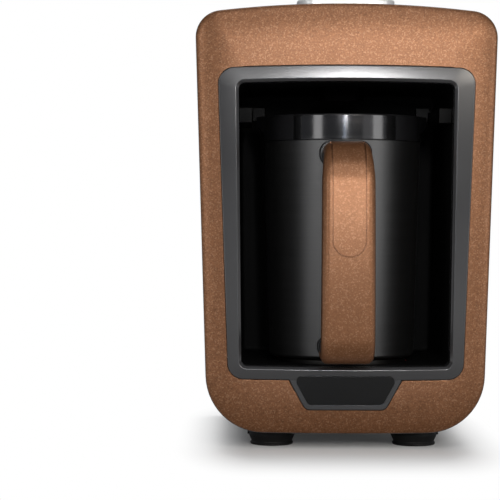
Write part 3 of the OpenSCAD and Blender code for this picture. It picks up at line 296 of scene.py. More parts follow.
def panel_line(grow=0.0, steps=8):
    """Arcs of the control panel's outline."""
    w, d = PANEL_HIGH.x - PANEL_LOW.x + 2 * grow, PANEL_HIGH.y - PANEL_LOW.y + 2 * grow
    middle = (PANEL_LOW + PANEL_HIGH) / 2
    return box_line(w, d, w / 6, middle, steps)


def corner_places(low, high, margin):
    """The four points that lie a margin inside the corners of a box seen from above."""
    return [(x, y) for x in (low.x + margin, high.x - margin) for y in (low.y + margin, high.y - margin)]


def pot_wall(z):
    """Outer radius of the pot's wall at a height."""
    s = sizes()
    return s.pot_foot + (s.pot_shoulder - s.pot_foot) * (z - POT_LOW) / (COLLAR_LOW - POT_LOW)


def root_heights():
    """Heights of the handle's upper and lower root."""
    s = sizes()
    return COLLAR_LOW - s.arm_drop, POT_LOW + s.root_rise


# ---------------------------------------------------------------- modelling by hand

FRONT_VIEW = (lambda u, v, w: Vector((u, w, v)), (0, 1, 0))
TOP_VIEW = (lambda u, v, w: Vector((u, v, w)), (0, 0, -1))
TOUCHING = 0.002 * MM  # points nearer to each other than this are one
CLOSING = 0.012 * MM  # the same, where the ends of an outline meet
PROFILE_STEPS = 5  # faces across a rounded corner of a turned profile
ROUND_STEPS = 96  # faces round a turned solid
FINE_STEPS = 128  # the same, where it is large and in view


def leave_edit():
    """Goes to object mode with nothing selected."""
    if bpy.context.mode != "OBJECT":
        bpy.ops.object.mode_set(mode="OBJECT")
    bpy.ops.object.select_all(action="DESELECT")


def activate(piece):
    leave_edit()
    piece.select_set(True)
    bpy.context.view_layer.objects.active = piece


def rename(piece, name):
    piece.name = name
    piece.data.name = name


def settle(name):
    """Puts a new primitive's place into its mesh and opens it for editing."""
    piece = bpy.context.object
    rename(piece, name)
    bpy.ops.object.transform_apply(location=True, rotation=True, scale=True)
    bpy.ops.object.mode_set(mode="EDIT")
    select_all()
    return piece


def start_point(name, place):
    """A new mesh of one selected vertex, open for editing."""
    leave_edit()
    bpy.ops.mesh.primitive_plane_add(size=0.1 * MM, location=place)
    piece = settle(name)
    bpy.ops.mesh.merge(type="CENTER")
    return piece


def extrude(dx=0.0, dy=0.0, dz=0.0):
    bpy.ops.mesh.extrude_region_move(TRANSFORM_OT_translate={"value": (dx, dy, dz)})


def select(test, kind="FACE"):
    """Selects the faces, edges or vertices of the edited mesh that pass a test, and says how many did."""
    piece = bpy.context.object
    bpy.ops.mesh.select_mode(type=kind)
    bpy.ops.mesh.select_all(action="DESELECT")
    mesh = bmesh.from_edit_mesh(piece.data)
    parts = {"VERT": mesh.verts, "EDGE": mesh.edges, "FACE": mesh.faces}[kind]
    chosen = [part for part in parts if test(part)]
    for part in chosen:
        part.select_set(True)
    mesh.select_flush_mode()
    bmesh.update_edit_mesh(piece.data)
    return len(chosen)


def select_all():
    bpy.ops.mesh.select_mode(type="VERT")
    bpy.ops.mesh.select_all(action="SELECT")


def near(value, other, tolerance=0.01 * MM):
    return abs(value - other) < tolerance


def lies_at(axis, value):
    """A test for faces or edges that lie at a place along an axis."""
    return lambda part: all(near(v.co[axis], value) for v in part.verts)


def tidy():
    select_all()
    bpy.ops.mesh.remove_doubles(threshold=TOUCHING)
    bpy.ops.mesh.normals_make_consistent(inside=False)


def draw(name, arcs, w, view=FRONT_VIEW, closed=True, fill=True):
    """Draws arcs, joined by straight lines, as edges at a depth or a height."""
    place, axis = view
    first = here = place(*polar(*arcs[0][:3]), w)
    piece = start_point(name, here)
    for centre, radius, start, sweep, steps in arcs:
        begin = place(*polar(centre, radius, start), w)
        if (begin - here).length > TOUCHING:
            extrude(*(begin - here))
        here = begin
        if radius > 0 and steps > 0:
            bpy.ops.mesh.spin(steps=steps, angle=sweep, center=place(*centre, w), axis=axis)
            here = place(*polar(centre, radius, start + sweep), w)
    if closed:
        if (first - here).length > TOUCHING:
            extrude(*(first - here))
        select_all()
        bpy.ops.mesh.remove_doubles(threshold=CLOSING)
        if fill:
            bpy.ops.mesh.edge_face_add()
    return piece


def slab(name, arcs, back, front):
    """A solid with the outline's shape between two depths, with its front face selected."""
    piece = draw(name, arcs, back)
    extrude(dy=front - back)
    tidy()
    select(lies_at(1, front))
    return piece


def plate(name, arcs, low, high):
    """A solid with the outline's shape between two heights, with its top face selected."""
    piece = draw(name, arcs, low, TOP_VIEW)
    extrude(dz=high - low)
    tidy()
    select(lies_at(2, high))
    return piece


def quarter(steps):
    """Cosines and sines of equal steps round a quarter of a circle."""
    angles = [RIGHT_ANGLE * i / steps for i in range(steps + 1)]
    return [(math.cos(a), math.sin(a)) for a in angles]


def soften(edge, drop, steps=5):
    """Rounds off the selected face in insets that follow a quarter of an ellipse."""
    turns = quarter(steps)
    for (cos_a, sin_a), (cos_b, sin_b) in zip(turns, turns[1:]):
        bpy.ops.mesh.inset(thickness=edge * (cos_a - cos_b), depth=drop * (sin_b - sin_a))


def rings(name, lines, around=False):
    """Bridges outlines of equal make, each given with its depth, and closes or joins the two ends."""
    parts = [draw(f"{name}_ring", line, w, fill=False) for line, w in lines]
    leave_edit()
    counts = [len(part.data.vertices) for part in parts]
    for part in parts:
        part.select_set(True)
    bpy.context.view_layer.objects.active = parts[0]
    bpy.ops.object.join()
    piece = bpy.context.object
    rename(piece, name)
    bpy.ops.object.mode_set(mode="EDIT")
    loops = [range(sum(counts[:i]), sum(counts[: i + 1])) for i in range(len(counts))]
    neighbours = list(zip(loops, loops[1:])) + ([(loops[-1], loops[0])] if around else [])
    for pair in neighbours:
        select(lambda edge: any(all(v.index in loop for v in edge.verts) for loop in pair), "EDGE")
        bpy.ops.mesh.bridge_edge_loops()
    for loop in () if around else (loops[0], loops[-1]):
        select(lambda edge: all(v.index in loop for v in edge.verts), "EDGE")
        bpy.ops.mesh.edge_face_add()
    tidy()
    return piece


def turned(name, points, axis=POT_AXIS, closed=False, steps=ROUND_STEPS):
    """A solid of revolution about a vertical axis. A profile point is (radius, height, corner radius)."""
    shifted = [(axis.x + r, z, corner) for r, z, corner in points]
    piece = draw(name, rounded(shifted, PROFILE_STEPS, closed), axis.y, closed=closed, fill=False)
    select_all()
    bpy.ops.mesh.spin(steps=steps, angle=2 * math.pi, center=(axis.x, axis.y, 0), axis=(0, 0, 1))
    tidy()
    return piece


def drum(name, low, high, r_low, r_high=None, axis=POT_AXIS, steps=ROUND_STEPS):
    """An upright cylinder, or a cone where the upper radius is given too."""
    r_high = r_low if r_high is None else r_high
    return turned(name, [(0, low, 0), (r_low, low, 0), (r_high, high, 0), (0, high, 0)], axis, steps=steps)


def block(name, low, high):
    """A box between two corners, open for editing."""
    leave_edit()
    low, high = Vector(low), Vector(high)
    bpy.ops.mesh.primitive_cube_add(size=1, location=(low + high) / 2, scale=high - low)
    return settle(name)


def round_edges(width, steps=3, sharp=0.7, where=lambda edge: True):
    """Bevels the edges that are sharper than an angle and pass a test."""
    found = select(
        lambda edge: len(edge.link_faces) == 2 and edge.calc_face_angle(0) > sharp and where(edge), "EDGE"
    )
    if not found:
        raise RuntimeError(f"{bpy.context.object.name} has no such edge to round")
    bpy.ops.mesh.bevel(offset=width, offset_type="OFFSET", segments=steps, profile=0.5, affect="EDGES")


def combine(piece, other, operation="DIFFERENCE"):
    """Applies a boolean with another solid, which goes."""
    activate(piece)
    bpy.ops.object.modifier_add(type="BOOLEAN")
    tool = piece.modifiers[-1]
    tool.operation = operation
    tool.solver = "EXACT"
    tool.object = other
    bpy.ops.object.modifier_apply(modifier=tool.name)
    bpy.data.objects.remove(other)
    bpy.ops.object.mode_set(mode="EDIT")
    tidy()


def move_points(change):
    """Moves every vertex of the edited mesh by a rule."""
    mesh = bmesh.from_edit_mesh(bpy.context.object.data)
    for v in mesh.verts:
        v.co = Vector(change(v.co))
    bmesh.update_edit_mesh(bpy.context.object.data)


def turn_round_pot(piece, angle):
    """Turns the edited mesh about the pot's axis."""
    bpy.ops.object.mode_set(mode="OBJECT")
    turn = Matrix.Rotation(angle, 4, "Z")
    piece.data.transform(Matrix.Translation(POT_AXIS) @ turn @ Matrix.Translation(-POT_AXIS))
    bpy.ops.object.mode_set(mode="EDIT")


def copy_of(piece, name, matrix):
    """A copy with its own mesh, moved by a matrix, with its faces turned outwards again."""
    twin = piece.copy()
    twin.data = piece.data.copy()
    rename(twin, name)
    bpy.context.scene.collection.objects.link(twin)
    twin.data.transform(matrix)
    activate(twin)
    bpy.ops.object.mode_set(mode="EDIT")
    tidy()
    return twin


def finish(piece, body, maker, *nodes, slot=None, angle=32):
    """Shades and paints a finished piece, hangs it on its body and hides the nodes it stands for. The slot
    argument is not used.
    """
    activate(piece)
    bpy.ops.object.shade_smooth_by_angle(angle=math.radians(angle))
    bpy.ops.object.modifier_add(type="WEIGHTED_NORMAL")
    weighted = piece.modifiers[-1]
    weighted.keep_sharp = True
    bpy.ops.object.modifier_apply(modifier=weighted.name)
    piece.data.materials.clear()
    piece.data.materials.append(finish_of(maker))
    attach(piece, body)
    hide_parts(*nodes)


def set_out(model, stem, matrices, maker, node):
    """Puts numbered copies of a model on the machine at each matrix, and removes the model."""
    for i, matrix in enumerate(matrices):
        finish(copy_of(model, f"{stem}_{i + 1}", matrix), "machine", maker, node)
    bpy.data.objects.remove(model)


# ---------------------------------------------------------------- materials


class Wire:
    """A shader socket, with arithmetic that adds Math nodes."""

    def __init__(self, finish, socket):
        self.finish = finish
        self.socket = socket

    def maths(self, operation, other):
        return self.finish.add("Math", {"operation": operation}, {0: self, 1: other})

    def __add__(self, other):
        return self.maths("ADD", other)

    def __sub__(self, other):
        return self.maths("SUBTRACT", other)

    def __mul__(self, other):
        return self.maths("MULTIPLY", other)

    def above(self, level, soft):
        """Smooth step from 0 to 1 round a level."""
        ends = {"Value": self, 1: level - soft, 2: level + soft}
        return self.finish.add("MapRange", {"interpolation_type": "SMOOTHSTEP"}, ends)

    __radd__ = __add__


class Finish:
    """A material under construction: add() makes any node, surface() sets the shader."""

    def __init__(self, name):
        self.material = bpy.data.materials.new(name)
        self.material.use_nodes = True
        self.tree = self.material.node_tree
        self.tree.nodes.clear()
        self.shader = self.tree.nodes.new("ShaderNodeBsdfPrincipled")
        self.output = self.tree.nodes.new("ShaderNodeOutputMaterial")
        self.tree.links.new(self.shader.outputs[0], self.output.inputs["Surface"])
        self.place = self.add("TexCoord", out="Object")

    def join(self, socket, value):
        """Links a wire to a socket, or sets the socket to a number or a colour."""
        if isinstance(value, Wire):
            self.tree.links.new(value.socket, socket)
        elif hasattr(value, "__len__") and len(value) == 3 and len(socket.default_value) == 4:
            socket.default_value = (*value, 1)
        else:
            socket.default_value = value

    def add(self, kind, settings=None, inputs=None, out=0):
        """Adds a node with its settings and inputs, and gives one of its outputs."""
        node = self.tree.nodes.new("ShaderNode" + kind)
        for key, value in (settings or {}).items():
            setattr(node, key, value)
        for key, value in (inputs or {}).items():
            self.join(node.inputs[key], value)
        return Wire(self, node.outputs[out])

    def vector_maths(self, operation, *values, out=0):
        return self.add("VectorMath", {"operation": operation}, dict(enumerate(values)), out)

    def stretched(self, scale):
        """Object coordinates scaled along each axis."""
        return self.add("Mapping", inputs={"Vector": self.place, "Scale": scale})

    def noise(self, scale, detail=2.0, rough=0.5, at=None):
        inputs = {"Vector": at or self.place, "Scale": scale, "Detail": detail, "Roughness": rough}
        return self.add("TexNoise", inputs=inputs)

    def cells(self, scale):
        """Random number of each small cell."""
        colour_out = self.add("TexVoronoi", inputs={"Vector": self.place, "Scale": scale}, out="Color")
        return self.add("SeparateColor", inputs={"Color": colour_out})

    def mix(self, factor, a, b):
        return self.add("Mix", {"data_type": "RGBA"}, {0: factor, 6: a, 7: b}, out=2)

    def bump(self, height, distance, strength=1.0):
        return self.add("Bump", inputs={"Height": height, "Distance": distance, "Strength": strength})

    def surface(self, **values):
        """Sets the shader's sockets, named with underscores for spaces, and gives the material."""
        for key, value in values.items():
            self.join(self.shader.inputs[key.replace("_", " ")], value)
        return self.material


MADE = {}


def finish_of(maker):
    """A material by its maker function, made once."""
    if maker not in MADE:
        MADE[maker] = maker()
    return MADE[maker]


def dimmed(base, factor):
    """A colour with every channel multiplied by a factor."""
    return [c * factor for c in base]


def metallic_paint(name, base, light):
    """Metallic paint: fine grain, faint blotches and single brighter flakes under a satin coat."""
    f = Finish(name)
    grain = f.noise(1250, 2.0, 0.6)
    blotch = f.noise(240, 2.0, 0.5)
    flake = f.cells(1700).above(0.82, 0.12)
    tone = (grain - 0.5) * 2.2 + (blotch - 0.5) * 0.4 + 0.46
    shade = f.mix(f.add("Clamp", inputs={"Value": tone}), base, light)
    sparkle = (0.8, 0.5, 0.32)
    shade = f.mix(flake * 0.13, shade, sparkle)
    return f.surface(
        Base_Color=shade,
        Metallic=0.55,
        Roughness=0.36 + (grain - 0.5) * 0.12,
        Normal=f.bump(grain, 0.05 * MM, 0.35),
    )


def copper_paint():
    return metallic_paint("copper_paint", colours().copper, colours().copper_light)


# The frame's copper paint on the lighter handle colour: painted light on the handle.
def copper_handle():
    return metallic_paint("copper_handle", colours().handle, colours().copper_light)


def charcoal():
    f = Finish("charcoal")
    grain = f.noise(2600, 2.0)
    cloud = f.noise(30, 3.0)
    return f.surface(
        Base_Color=f.mix(cloud, colours().charcoal, dimmed(colours().charcoal, 1.25)),
        Metallic=0.3,
        Specular_IOR_Level=0.75,
        Roughness=0.17 + (cloud - 0.5) * 0.04,
        Normal=f.bump(grain, 0.02 * MM, 0.3),
    )


def moulded(name, base, roughness, grain_scale, grain_depth, gloss=0.5):
    """Moulded plastic: even colour with faint clouds, and a fine spark-eroded grain."""
    f = Finish(name)
    grain = f.noise(grain_scale, 3.0, 0.6)
    cloud = f.noise(25, 3.0)
    return f.surface(
        Base_Color=f.mix(cloud, base, dimmed(base, 1.35)),
        Roughness=roughness + (cloud - 0.5) * 0.1,
        Normal=f.bump(grain, grain_depth, 0.5),
        Specular_IOR_Level=gloss,
    )


def black_shell():
    return moulded("black_shell", (0.012, 0.012, 0.013), 0.42, 1800, 0.06 * MM)


def black_satin():
    return moulded("black_satin", colours().black, 0.35, 2400, 0.02 * MM)


def badge_black():
    return moulded("badge_black", (0.006, 0.006, 0.006), 0.2, 3000, 0.005 * MM, 0.2)


# The bay's liner is the black satin moulding made five times darker and nearly without gloss: painted shade
# inside the bay.
def bay_black_painted_shade():
    return moulded("bay_black_painted_shade", (0.0016, 0.0016, 0.0017), 0.65, 1800, 0.03 * MM, 0.12)


# The guide rails are the black satin moulding made eight times darker and nearly without gloss: painted shade
# inside the bay.
def guide_black_painted_shade():
    return moulded("guide_black_painted_shade", (0.001, 0.001, 0.001), 0.3, 2400, 0.001 * MM, 0.03)


def foot_rubber():
    return moulded("foot_rubber", (0.006, 0.006, 0.006), 0.5, 900, 0.03 * MM, 0.3)


# The lens is made nearly black and almost without gloss: painted shade under the bay's ceiling.
def lens_dark():
    return moulded("lens_dark", (0.0003, 0.0002, 0.0004), 0.5, 3000, 0.001 * MM, 0.01)


def seal_silicone():
    return moulded("seal_silicone", (0.25, 0.04, 0.03), 0.5, 1200, 0.02 * MM)


def wire_red():
    return moulded("wire_red", (0.42, 0.03, 0.02), 0.45, 1500, 0.02 * MM)


def spacer_nylon():
    return moulded("spacer_nylon", (0.62, 0.62, 0.56), 0.45, 1500, 0.02 * MM)


def terminal_green():
    return moulded("terminal_green", (0.03, 0.22, 0.08), 0.4, 1500, 0.02 * MM)


def fuse_ceramic():
    return moulded("fuse_ceramic", (0.62, 0.56, 0.46), 0.7, 700, 0.05 * MM)


def parts_mixed():
    return moulded("parts_mixed", (0.03, 0.04, 0.08), 0.35, 1500, 0.02 * MM)


def board_green():
    """Glass-fibre board with a faint weave under the green mask."""
    f = Finish("board_green")
    weave = f.add("TexWave", {"bands_direction": "X"}, {"Vector": f.place, "Scale": 300.0, "Distortion": 1.0})
    return f.surface(
        Base_Color=f.mix(weave, (0.012, 0.09, 0.035), (0.02, 0.13, 0.05)),
        Roughness=0.32,
        Normal=f.bump(weave, 0.01 * MM, 0.4),
    )


def turned_steel(name, base, roughness, dark=0.7, groove=0.004 * MM):
    """Steel turned or brushed round a vertical axis: fine rings, with faint wider ones and slow clouds."""
    f = Finish(name)
    rings_fine = f.noise(1.0, 3.0, 0.7, f.stretched((12, 12, 5200)))
    rings_wide = f.noise(1.0, 2.0, 0.5, f.stretched((6, 6, 700)))
    cloud = f.noise(35, 3.0)
    tone = rings_fine * 0.5 + rings_wide * 0.3 + cloud * 0.2
    return f.surface(
        Base_Color=f.mix(tone, dimmed(base, dark), base),
        Metallic=0.95,
        Roughness=roughness + (rings_wide - 0.5) * 0.1,
        Normal=f.bump(rings_fine, groove, 0.5),
        Anisotropic=0.4,
    )


def pot_steel():
    return turned_steel("pot_steel", colours().pot, 0.36)


def band_steel():
    return turned_steel("band_steel", (0.078, 0.078, 0.081), 0.13, 0.85, 0.0005 * MM)


def base_steel():
    return turned_steel("base_steel", (0.5, 0.5, 0.51), 0.3)


# The hot plate's steel is made nearly black: painted shade on the bay's floor.
def plate_steel():
    return turned_steel("plate_steel", (0.035, 0.034, 0.033), 0.4)


def heater_alu():
    return turned_steel("heater_alu", (0.55, 0.55, 0.55), 0.45)


def shield_steel():
    return turned_steel("shield_steel", (0.55, 0.55, 0.52), 0.35)


def screw_steel():
    return turned_steel("screw_steel", (0.5, 0.5, 0.5), 0.28)


def spring_steel():
    return turned_steel("spring_steel", (0.6, 0.6, 0.6), 0.25)


def silver_panel():
    f = Finish("silver_panel")
    grain = f.noise(2200, 2.0)
    flake = f.cells(2600).above(0.9, 0.06)
    return f.surface(
        Base_Color=f.mix(flake * 0.5, colours().silver, (0.9, 0.9, 0.9)),
        Metallic=0.35,
        Roughness=0.32 + (grain - 0.5) * 0.1,
        Normal=f.bump(grain, 0.02 * MM, 0.4),
    )


def button_silver():
    f = Finish("button_silver")
    brushed = f.noise(1.0, 3.0, 0.7, f.stretched((3000, 60, 60)))
    return f.surface(
        Base_Color=f.mix(brushed, dimmed(colours().silver, 0.75), colours().silver),
        Metallic=0.7,
        Roughness=0.3,
        Normal=f.bump(brushed, 0.005 * MM, 0.5),
    )


def light_guide():
    f = Finish("light_guide")
    cloud = f.noise(120, 3.0)
    return f.surface(
        Base_Color=f.mix(cloud, (0.78, 0.78, 0.74), (0.9, 0.9, 0.86)),
        Roughness=0.35 + (cloud - 0.5) * 0.1,
        Subsurface_Weight=0.3,
    )


def lamp_clear():
    return moulded("lamp_clear", (0.75, 0.75, 0.7), 0.15, 2000, 0.005 * MM)


PLAIN_NODES = {
    "overflow_sensor": board_green,
    "button_spring": spring_steel,
    "control_board": board_green,
    "button_switch": parts_mixed,
    "ring_leds": lamp_clear,
    "buzzer": parts_mixed,
    "plate_seal": seal_silicone,
    "heating_element": heater_alu,
    "heat_shield": shield_steel,
    "plate_sensor": heater_alu,
    "thermal_fuse": fuse_ceramic,
    "board_spacers": spacer_nylon,
    "power_board": board_green,
    "power_parts": parts_mixed,
    "terminal_block": terminal_green,
    "wire_harness": wire_red,
    "board_screws": screw_steel,
    "panel_screws": screw_steel,
    "handle_rivets": screw_steel,
}


# ---------------------------------------------------------------- pieces


class PieceMaker:
    """What every operator here shares."""

    bl_options = {"REGISTER", "UNDO"}

    def execute(self, context):
        self.make()
        return {"FINISHED"}


class COFFEE_OT_housing(PieceMaker, bpy.types.Operator):
    """Makes the sleeve round the body, with its seat for the control panel"""

    bl_idname = "coffee.housing"
    bl_label = "Housing"

    def make(self):
        s = sizes()
        edge, lip, chamfer = FRONT + FRONT_STEP, 0.5 * MM, 0.15 * MM
        piece = rings("housing_shell", [
            (body_line(s.wall), FRONT + 2.2 * MM),
            (body_line(lip), FRONT + 1.7 * MM),
            (body_line(chamfer), edge),
            (body_line(0.0), edge + lip),
            (body_line(0.0), SEAM - lip),
            (body_line(chamfer), SEAM),
            (body_line(s.wall), SEAM - 0.02 * MM),
        ], around=True)
        combine(piece, plate("seat_cutter", panel_line(s.fit), BODY_TOP - PANEL_SINK, BODY_TOP + REACH))
        hole_r = 13.0 * MM
        combine(piece, drum("barrel_hole", BODY_TOP - 8 * MM, BODY_TOP + 2 * MM, hole_r, axis=BUTTON_AXIS))
        low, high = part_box("base_plate")
        combine(piece, block(
            "base_cutter",
            low - Vector((s.fit, s.fit, REACH)),
            (high.x + s.fit, high.y + s.fit, BODY_LOW + 8 * MM),
        ))
        finish(piece, "machine", black_shell, "housing")


class COFFEE_OT_front_frame(PieceMaker, bpy.types.Operator):
    """Makes the painted frame round the front, domed at its rim and open for the bezel"""

    bl_idname = "coffee.front_frame"
    bl_label = "Front frame"

    def make(self):
        s = sizes()
        margin, width, drop = 0.1 * MM, 22.0 * MM, 3.4 * MM
        rim_y = FRONT - 1.5 * MM
        lines = [(body_line(margin), FRONT + 3.1 * MM)]
        for cos_a, sin_a in quarter(10):
            lines.append((body_line(margin + width * (1 - cos_a)), rim_y + drop * (1 - sin_a)))
        piece = rings("front_frame_paint", lines)
        for opening in (bezel_line(-s.fit), tab_line(s.fit, top=6 * MM)):
            combine(piece, slab("opening_cutter", opening, FRONT + REACH, FRONT - REACH))
        round_edges(0.35 * MM, 2, 0.9, lies_at(1, rim_y))
        finish(piece, "machine", copper_paint, "front_frame")


class COFFEE_OT_bezel(PieceMaker, bpy.types.Operator):
    """Makes the ring round the bay with its sloping face, rolled lip and tab, and the plate on the tab"""

    bl_idname = "coffee.bezel"
    bl_label = "Bezel"

    def make(self):
        self.recess_y = FRONT - 1.3 * MM
        self.ring()
        self.badge()

    def ring(self):
        # Millimetres inwards from the bezel's outline or outwards from the mouth's, then back from the front
        outside = ((0.0, 3.0), (0.0, -1.7), (0.12, -2.08), (0.45, -2.23))
        lip = ((1.75, -2.5), (1.45, -2.48), (1.25, -2.36), (0.2, -1.48), (0.04, -1.25), (0.0, -0.9))
        inside = ((0.0, 7.0), (1.6, 6.95), (1.6, 3.0))
        lines = [(bezel_line(inset * MM), FRONT + y * MM) for inset, y in outside]
        lines += [(mouth_line(grow * MM), FRONT + y * MM) for grow, y in lip + inside]
        ring = rings("bezel_ring", lines, around=True)

        tab = slab("bezel_tab", tab_line(0.0, top=5 * MM), FRONT + 3.0 * MM, FRONT - 1.5 * MM)
        soften(0.45 * MM, 0.45 * MM, 3)
        combine(tab, slab("keep_out", mouth_line(2.5 * MM), FRONT + 6 * MM, FRONT - 6 * MM))
        recess = slab("recess_cutter", self.badge_line(sizes().fit / 2), self.recess_y, FRONT - REACH)
        combine(ring, tab, "UNION")
        combine(ring, recess)
        finish(ring, "machine", charcoal, "bezel", angle=40)

    def badge(self):
        badge = slab("badge_plate", self.badge_line(-sizes().fit / 2), self.recess_y, FRONT - 1.8 * MM)
        soften(0.3 * MM, 0.25 * MM, 3)
        finish(badge, "machine", badge_black, "badge_panel")

    @staticmethod
    def badge_line(grow):
        """Arcs of the plate on the tab, moved outwards by grow."""
        margin, corner, above = 2.4 * MM, 5.4 * MM, 2.3 * MM
        return tab_line(grow - margin, corner, top=above + grow)


class COFFEE_OT_bay(PieceMaker, bpy.types.Operator):
    """Makes the bay's walls with their holes, the guide rails with end stops, the lens and the hot plate"""

    bl_idname = "coffee.bay"
    bl_label = "Bay"

    def make(self):
        self.walls()
        self.lens()
        self.guides()
        self.hot_plate()

    @staticmethod
    def lens_line(grow=0.0, less=0.0):
        """Arcs of the oval lens, moved outwards by grow, with the corner radius reduced by less."""
        low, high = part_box("sensor_window")
        w, d = 24 * MM, 12 * MM
        return box_line(w + 2 * grow, d + 2 * grow, d / 2 - less, (low + high) / 2)

    def walls(self):
        s = sizes()
        gap, wall = 0.3 * MM, 1.8 * MM
        front = FRONT + 7.0 * MM
        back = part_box("board_spacers")[0].y
        bay_back = back - s.wall
        piece = slab("bay_walls", mouth_line(gap + wall), back, front)
        bpy.ops.mesh.inset(thickness=wall)
        extrude(dy=bay_back - front)
        round_edges(2.5 * MM, 4, 0.7, lies_at(1, bay_back))
        floor_z = bezel_low() + s.rim_low
        hole_r = 34.8 * MM
        combine(piece, drum("plate_hole", floor_z - REACH, floor_z + 3 * MM, hole_r))
        low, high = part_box("sensor_window")
        combine(piece, plate("lens_hole", self.lens_line(s.fit), low.z + 2 * MM, high.z + 2 * MM))
        finish(piece, "machine", bay_black_painted_shade, "bay_liner", slot="black_satin")

    def lens(self):
        low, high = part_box("sensor_window")
        lens = plate("lens_oval", self.lens_line(less=0.1 * MM), high.z - 1.6 * MM, low.z)
        select(lies_at(2, low.z))
        bpy.ops.mesh.inset(thickness=1.0 * MM)
        finish(lens, "machine", lens_dark, "sensor_window")

    def guides(self):
        low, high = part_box("pot_guides")
        rail_x, stop_w, stop_d, rail_h = 47 * MM, 7 * MM, 4 * MM, 8 * MM
        rail_top = high.z - 3 * MM
        rail_low = rail_top - rail_h
        stop_low = rail_low + 3 * MM
        for side, name in ((-1, "left"), (1, "right")):
            x0, x1 = sorted((side * rail_x, side * high.x))
            rail = block(f"guide_{name}", (x0, low.y, rail_low), (x1, high.y, rail_top))
            combine(rail, slab("keep_in", mouth_line(0.3 * MM), high.y + REACH, low.y - REACH), "INTERSECT")
            x0, x1 = sorted((side * (rail_x - stop_w), side * (rail_x + 1 * MM)))
            combine(rail, block("stop", (x0, high.y - stop_d, stop_low), (x1, high.y, high.z)), "UNION")
            round_edges(0.6 * MM)
            finish(rail, "machine", guide_black_painted_shade, "pot_guides", slot="black_satin", angle=20)

    def hot_plate(self):
        low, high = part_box("hot_plate")
        r, flange_r = 34 * MM, high.x - POT_AXIS.x
        flange_z = low.z + 1.6 * MM
        piece = turned("hot_plate_steel", [
            (0, low.z, 0), (flange_r, low.z, 0.4 * MM), (flange_r, flange_z, 0.4 * MM), (r, flange_z, 0),
            (r, high.z, 0.8 * MM), (r * 0.6, high.z, 0), (0, high.z, 0),
        ])
        finish(piece, "machine", plate_steel, "hot_plate")


class COFFEE_OT_controls(PieceMaker, bpy.types.Operator):
    """Makes the raised panel on the top, the light ring and the dished start button"""

    bl_idname = "coffee.controls"
    bl_label = "Controls"

    def make(self):
        self.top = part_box("button_ring")[1].z - 0.2 * MM
        self.ledge = self.top - 2.6 * MM
        self.ring_r = 12.28 * MM
        self.panel()
        self.ring()
        self.button()

    def panel(self):
        low_z, seat = PANEL_LOW.z, BODY_TOP - PANEL_SINK
        top, ledge, ring_r = self.top, self.ledge, self.ring_r
        edge = 1.2 * MM
        panel = plate("panel_plate", panel_line(steps=12), seat, top - edge)
        soften(edge, edge)
        barrel_in, barrel_out, well_r = 11.0 * MM, 12.7 * MM, 11.26 * MM
        barrel = turned("panel_barrel", [
            (barrel_in, low_z, 0.3 * MM), (barrel_out, low_z, 0.3 * MM),
            (barrel_out, seat + 1 * MM, 0), (barrel_in, seat + 1 * MM, 0),
        ], BUTTON_AXIS, closed=True)
        combine(panel, barrel, "UNION")
        combine(panel, turned("barrel_cutter", [
            (0, low_z - REACH, 0), (well_r, low_z - REACH, 0), (well_r, ledge, 0),
            (ring_r, ledge, 0), (ring_r, top + REACH, 0), (0, top + REACH, 0),
        ], BUTTON_AXIS))
        round_edges(0.2 * MM, 2, 0.9, lies_at(2, top))
        finish(panel, "machine", silver_panel, "control_panel")

    def ring(self):
        ring_in, ring_top, edge = 10.08 * MM, self.top + 0.2 * MM, 0.4 * MM
        ring = turned("light_ring", [
            (ring_in, self.ledge, 0), (self.ring_r, self.ledge, 0),
            (self.ring_r, ring_top, edge), (ring_in, ring_top, edge),
        ], BUTTON_AXIS, closed=True)
        finish(ring, "machine", light_guide, "button_ring")

    def button(self):
        z, r, stem_r, dip = BUTTON_HIGH.z, 10 * MM, 2 * MM, 0.5 * MM
        ledge = self.ledge
        inner_r, skirt_r, skirt_low = r - 1.4 * MM, r + 1.1 * MM, self.top - 4.0 * MM
        cap_low = z - 2.7 * MM
        button = turned("start_button_cap", [
            (0, BUTTON_LOW.z, 0), (stem_r, BUTTON_LOW.z, 0.3 * MM), (stem_r, cap_low, 0),
            (inner_r, cap_low, 0.4 * MM), (inner_r, skirt_low, 0),
            (skirt_r, skirt_low, 0.2 * MM), (skirt_r, ledge, 0.2 * MM), (r, ledge, 0), (r, z, 0.8 * MM),
            *((r * k, z - dip * (1 - k * k), 0) for k in (0.75, 0.6, 0.45, 0.3, 0.15, 0.0)),
        ], BUTTON_AXIS)
        finish(button, "start_button", button_silver, "brew_button")


